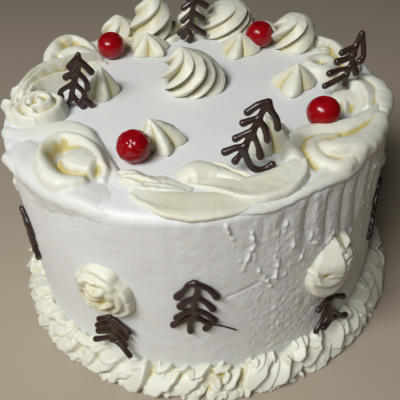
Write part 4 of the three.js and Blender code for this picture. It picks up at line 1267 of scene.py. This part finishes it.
topping("swirl_edge_right", "swirl_right", (66, -52), (120, 16), [
    ([(78, -14, 2, 7), (86, -18, 3, 9), (91, -27, 3, 8), (87, -38, 2, 6)], DOME, 0.9),
    ([(84, 2, 3, 3), (92, 1, 5, 3.8), (98.5, -6, 6.4, 4.2), (101.5, -17, 6.8, 4.2), (101, -28, 6.2, 4),
      (97.5, -38, 5, 3)], SHELF),
    ([(81, -6, 4, 2.2), (88, -8, 6.6, 3.2), (93.5, -14, 7.8, 3.6), (94.5, -24, 7.2, 3.4),
      (91.5, -34, 5.4, 2.4)], PETAL),
    ([(78, -22, 3.6, 1.3), (81, -26, 4.8, 1.8), (80, -31, 3.8, 1.2)], PETAL),
    ([(74, -24, 2.4, 1.1), (77, -28, 3.6, 1.5), (76, -33, 2.6, 1.1)], PETAL),
], 0.5, TOP_WAVES, 411)

# Front right swirl: a thick strand that comes round the edge, folds back over itself at the cherry and falls
# over the rim, with a second knob pressed into the fold and a thin lip along the wall.
FOLD = ((-2.3, -9), (-1.8, -6), (-1.3, -3.2), (-0.8, -1.2), (-0.35, -0.2), (0, 0), (0.4, -0.3),
        (0.75, -1.3), (1.05, -3.2), (1.35, -6.5), (1.6, -9))
LIP = ((-2.6, -3.2), (-1.8, -2.2), (-1.1, -1.3), (-0.5, -0.5), (0, -0.1), (0.5, 0), (0.8, -0.3),
       (0.95, -1.2), (1.06, -3), (1.2, -7))


def rim_lip(headings, proud, wide):
    """Marks of a thin lip that hangs over the rim, uneven along its edge."""
    marks = []
    for k, heading in enumerate(headings):
        turn = math.radians(heading)
        lean = math.radians(56 + 8 * math.sin(2.1 * k))
        taper = math.sin(math.pi * (0.04 + 0.92 * k / (len(headings) - 1))) ** 0.6
        reach = EDGE_ROUND - 0.5 + proud * taper
        across, lift = RIM_START + reach * math.cos(lean), reach * math.sin(lean) - EDGE_ROUND
        width = wide * taper * (0.9 + 0.2 * math.sin(1.3 * k))
        marks.append((across * math.cos(turn), across * math.sin(turn), lift, width))
    return marks


topping("swirl_fold_right", "swirl_front_right", (10, -120), (122, -20), [
    ([(50, -68, 2, 10), (64, -68, 2.4, 12), (80, -60, 2.2, 10), (92, -44, 1.6, 7)], DOME, 0.8),
    ([(99, -31, 5, 3), (93.5, -37, 5.6, 3.6), (88, -42.4, 6, 4), (81, -47, 6.2, 4.2),
      (73, -50.4, 6.4, 4.4), (63, -51, 6.4, 4.4), (54, -52.6, 6.4, 4.4), (48, -57.8, 6.4, 4.3),
      (45.4, -65, 6.2, 4.2), (46.2, -72.5, 5.2, 3.9), (49.4, -79, 3.4, 3.4), (53, -84, 1, 2.6)], FOLD),
    ([(69, -57.5, 4, 2.6), (61, -58.6, 4.8, 3.2), (56, -63, 5.2, 3.8), (55.4, -70, 5, 4.2),
      (59, -76.5, 4.4, 4), (66, -79.6, 3.8, 3.6), (73, -77.5, 3, 2.8)], FOLD),
    ([(61.5, -64.5, 6, 3.8), (65, -68.5, 7.8, 5.6), (72, -68, 8, 6), (80, -63, 6.8, 5.2),
      (88, -54.5, 5.8, 4.2), (95.5, -43, 5, 3)], SHELF),
    ([(60, -83.5, 0.6, 2.8), (69, -78.5, 2, 3.6), (78, -71.5, 2.6, 3.8), (86.5, -62.5, 3, 3.8),
      (93.5, -51.5, 3.4, 3.6), (98.5, -39, 4, 3)], SHELF),
    ([(62, -78.5, 2.2, 3), (56.5, -82, 1.4, 3.6), (50.5, -87, 0.4, 3.9), (44, -92.5, -1, 4),
      (36, -97.4, -2.4, 3.9), (27, -101, -3.6, 3.4), (17, -103.5, -5, 2.4)], FOLD),
    (rim_lip((-90, -82, -74, -66, -58, -50, -42, -34, -26, -20), 1.9, 4.0), LIP),
], 0.5, TOP_WAVES, 421, soft=2, thin=(0.3, 1.3))

# Cherries: four stoned cocktail cherries in red syrup, pushed a little into the cream. The syrup leaves them
# wet; the one at the front left is wrinkled and dented where it dried.
CHERRY_RADIUS = 8.8
CHERRY_SQUASH = 0.95
CHERRY_RED = (0.35, 0.0025, 0.0075)
CHERRY_DEEP = (0.22, 0.0012, 0.004)
CHERRY_ROWS = 56
CHERRY_COLUMNS = 72
CHERRY_SINK = 0.4

# A cherry soaked in syrup is clear red flesh under a wet skin.
wet_cherry, graph, skin, place = new_finish("wet_cherry", {
    "Roughness": 0.22, "Specular IOR Level": 0.15, "Coat Weight": 0.4, "Coat Roughness": 0.06,
    "Subsurface Weight": 0.2, "Subsurface Radius": (1.0, 0.12, 0.10), "Subsurface Scale": 0.003,
})
flesh = blended(graph, cloudy(graph, place, 120.0, 3.0), CHERRY_RED, CHERRY_DEEP)
graph.links.new(flesh, skin.inputs["Base Color"])
cherries = (
    ("front_left", (-31, -60), 0.55, 161), ("right", (65.5, -42.5), 0.10, 163),
    ("back_right", (45, 55), 0.14, 165), ("back_left", (-49.5, 56), 0.14, 167),
)
for place, (x, y), wrinkle, seed in cherries:
    def cherry_ring(row, heading, x=x, y=y, wrinkle=wrinkle, seed=seed):
        climb = math.pi * (0.02 + 0.96 * row / CHERRY_ROWS) - math.pi / 2
        ball = np.stack([
            math.cos(climb) * np.cos(heading), math.cos(climb) * np.sin(heading),
            np.full_like(heading, math.sin(climb)),
        ], axis=1)
        folds = np.abs(ripple(ball * CHERRY_RADIUS * np.array([1, 1, 0.6]), 2.6, seed))
        uneven = 0.25 * ripple(ball * CHERRY_RADIUS, 7.0, seed + 1) - wrinkle * (1 - folds) ** 3
        dent = 1.3 * np.clip((ball[:, 2] - 0.9) / 0.1, 0, 1)
        ball *= (CHERRY_RADIUS + uneven)[:, None]
        ball[:, 2] = ball[:, 2] * CHERRY_SQUASH - dent
        return ball + np.array([x, y, CAKE_HEIGHT + CHERRY_RADIUS * CHERRY_SQUASH - CHERRY_SINK])

    cherry_turn = np.arange(CHERRY_COLUMNS) * math.pi / (CHERRY_COLUMNS / 2)
    cherry_mesh = ring_mesh(f"cocktail_cherry_{place}", CHERRY_ROWS + 1, cherry_turn, cherry_ring)
    place_piece(f"cocktail_cherry_{place}", cherry_mesh, wet_cherry, f"cherry_{place}")

# Top trees: four larger trees of the same set chocolate, piped flat and then stood on edge in the crown with
# their faces to the front, held by the cream at their feet.
top_trees = (
    ("left", (-63, -6, 122.5), -100, 4, [
        [(3.1, 31.4), (2.3, 25.5), (0.2, 20.3), (-2.1, 14.9)], [(3, 30.5), (-3.2, 24.3)],
        [(3, 29), (8.6, 21.5)], [(1, 22.5), (-6.1, 18.2)], [(1, 21.5), (4.9, 16.2), (5.3, 11.7)],
        [(-2, 15.2), (-10.5, 10.1), (-11.2, 6.4)], [(-2, 15), (2.1, 9.6), (2.3, 5.9), (-0.3, 2.2)],
        [(-2.4, 14), (-6.3, 4.6), (-8.8, 0.8)], [(-4.5, 8.3), (-1.4, 2.8), (1, -0.3)],
        [(2, 5.9), (4.9, 2.3)],
    ]),
    ("back", (3, 68, 122.5), -92, 4, [
        [(3.5, 33.5), (2.8, 27.2), (0.6, 19.8), (-0.4, 14), (-4.4, 7), (-6.6, 3.5)],
        [(3.4, 33), (9, 28.5)], [(3.4, 33), (-1.5, 28.8)], [(2.6, 27), (9.6, 23.3)],
        [(2.6, 27), (-4.8, 22.5)], [(0.8, 20), (7.3, 15)], [(0.8, 20), (-6, 14.3)],
        [(-1.5, 12), (7.3, 5.3)], [(-1.5, 12), (-8.7, 6.4)], [(-3.4, 8.4), (-1, 3.5), (-2.5, 1)],
    ]),
    ("right", (80, -14, 125), -78, 6, [
        [(12, 30), (8.9, 23.9), (8, 20.2), (7.1, 15.3), (5.6, 11), (4.1, 6.7), (3.9, 3)],
        [(12, 30), (13.3, 23.1), (13.5, 17), (11.5, 15)], [(8.6, 23.4), (1, 21.5)],
        [(8, 19.6), (3.5, 17.6), (-1.7, 17)], [(6.1, 12.1), (0.3, 12), (-5.8, 11.2)],
        [(4.4, 8.5), (-2.4, 6.2), (-8.2, 4.4)], [(7.4, 16), (9.9, 8.5)],
    ]),
    ("front", (22, -78, 125), -86, 4, [
        [(10.7, 32.5), (7.9, 28.6), (5.6, 23.3), (3.3, 19.1), (0.9, 14.3), (-0.7, 10.5)],
        [(10.7, 33), (5.9, 31.9), (1.2, 28.9)], [(6.2, 25.1), (2.7, 24.9), (-1, 23.9)],
        [(3.3, 19.1), (-0.2, 18.2), (-4.6, 16.3)], [(-0.4, 11.9), (-5, 11.5), (-9.7, 10)],
        [(10.7, 32.5), (11.9, 28.1), (14.1, 24.1), (14.9, 19.3)], [(6.4, 24.2), (9, 19.7), (10.1, 13.7)],
        [(3.5, 18.2), (5.7, 11.1), (6.8, 5.6)], [(-0.7, 10.5), (-2.8, 7.5), (-5.2, 4.5)],
        [(-0.6, 10.2), (0.6, 4.3), (3.5, -1), (8.9, -1.5), (12.4, 0.2)],
    ]),
)
for count, (place, at, heading, lean, twigs) in enumerate(top_trees):
    pipe_tree(
        f"big_tree_{place}", f"tree_top_{place}", twigs, standing(at, heading, lean),
        np.random.default_rng(90 + count), 1.2,
    )
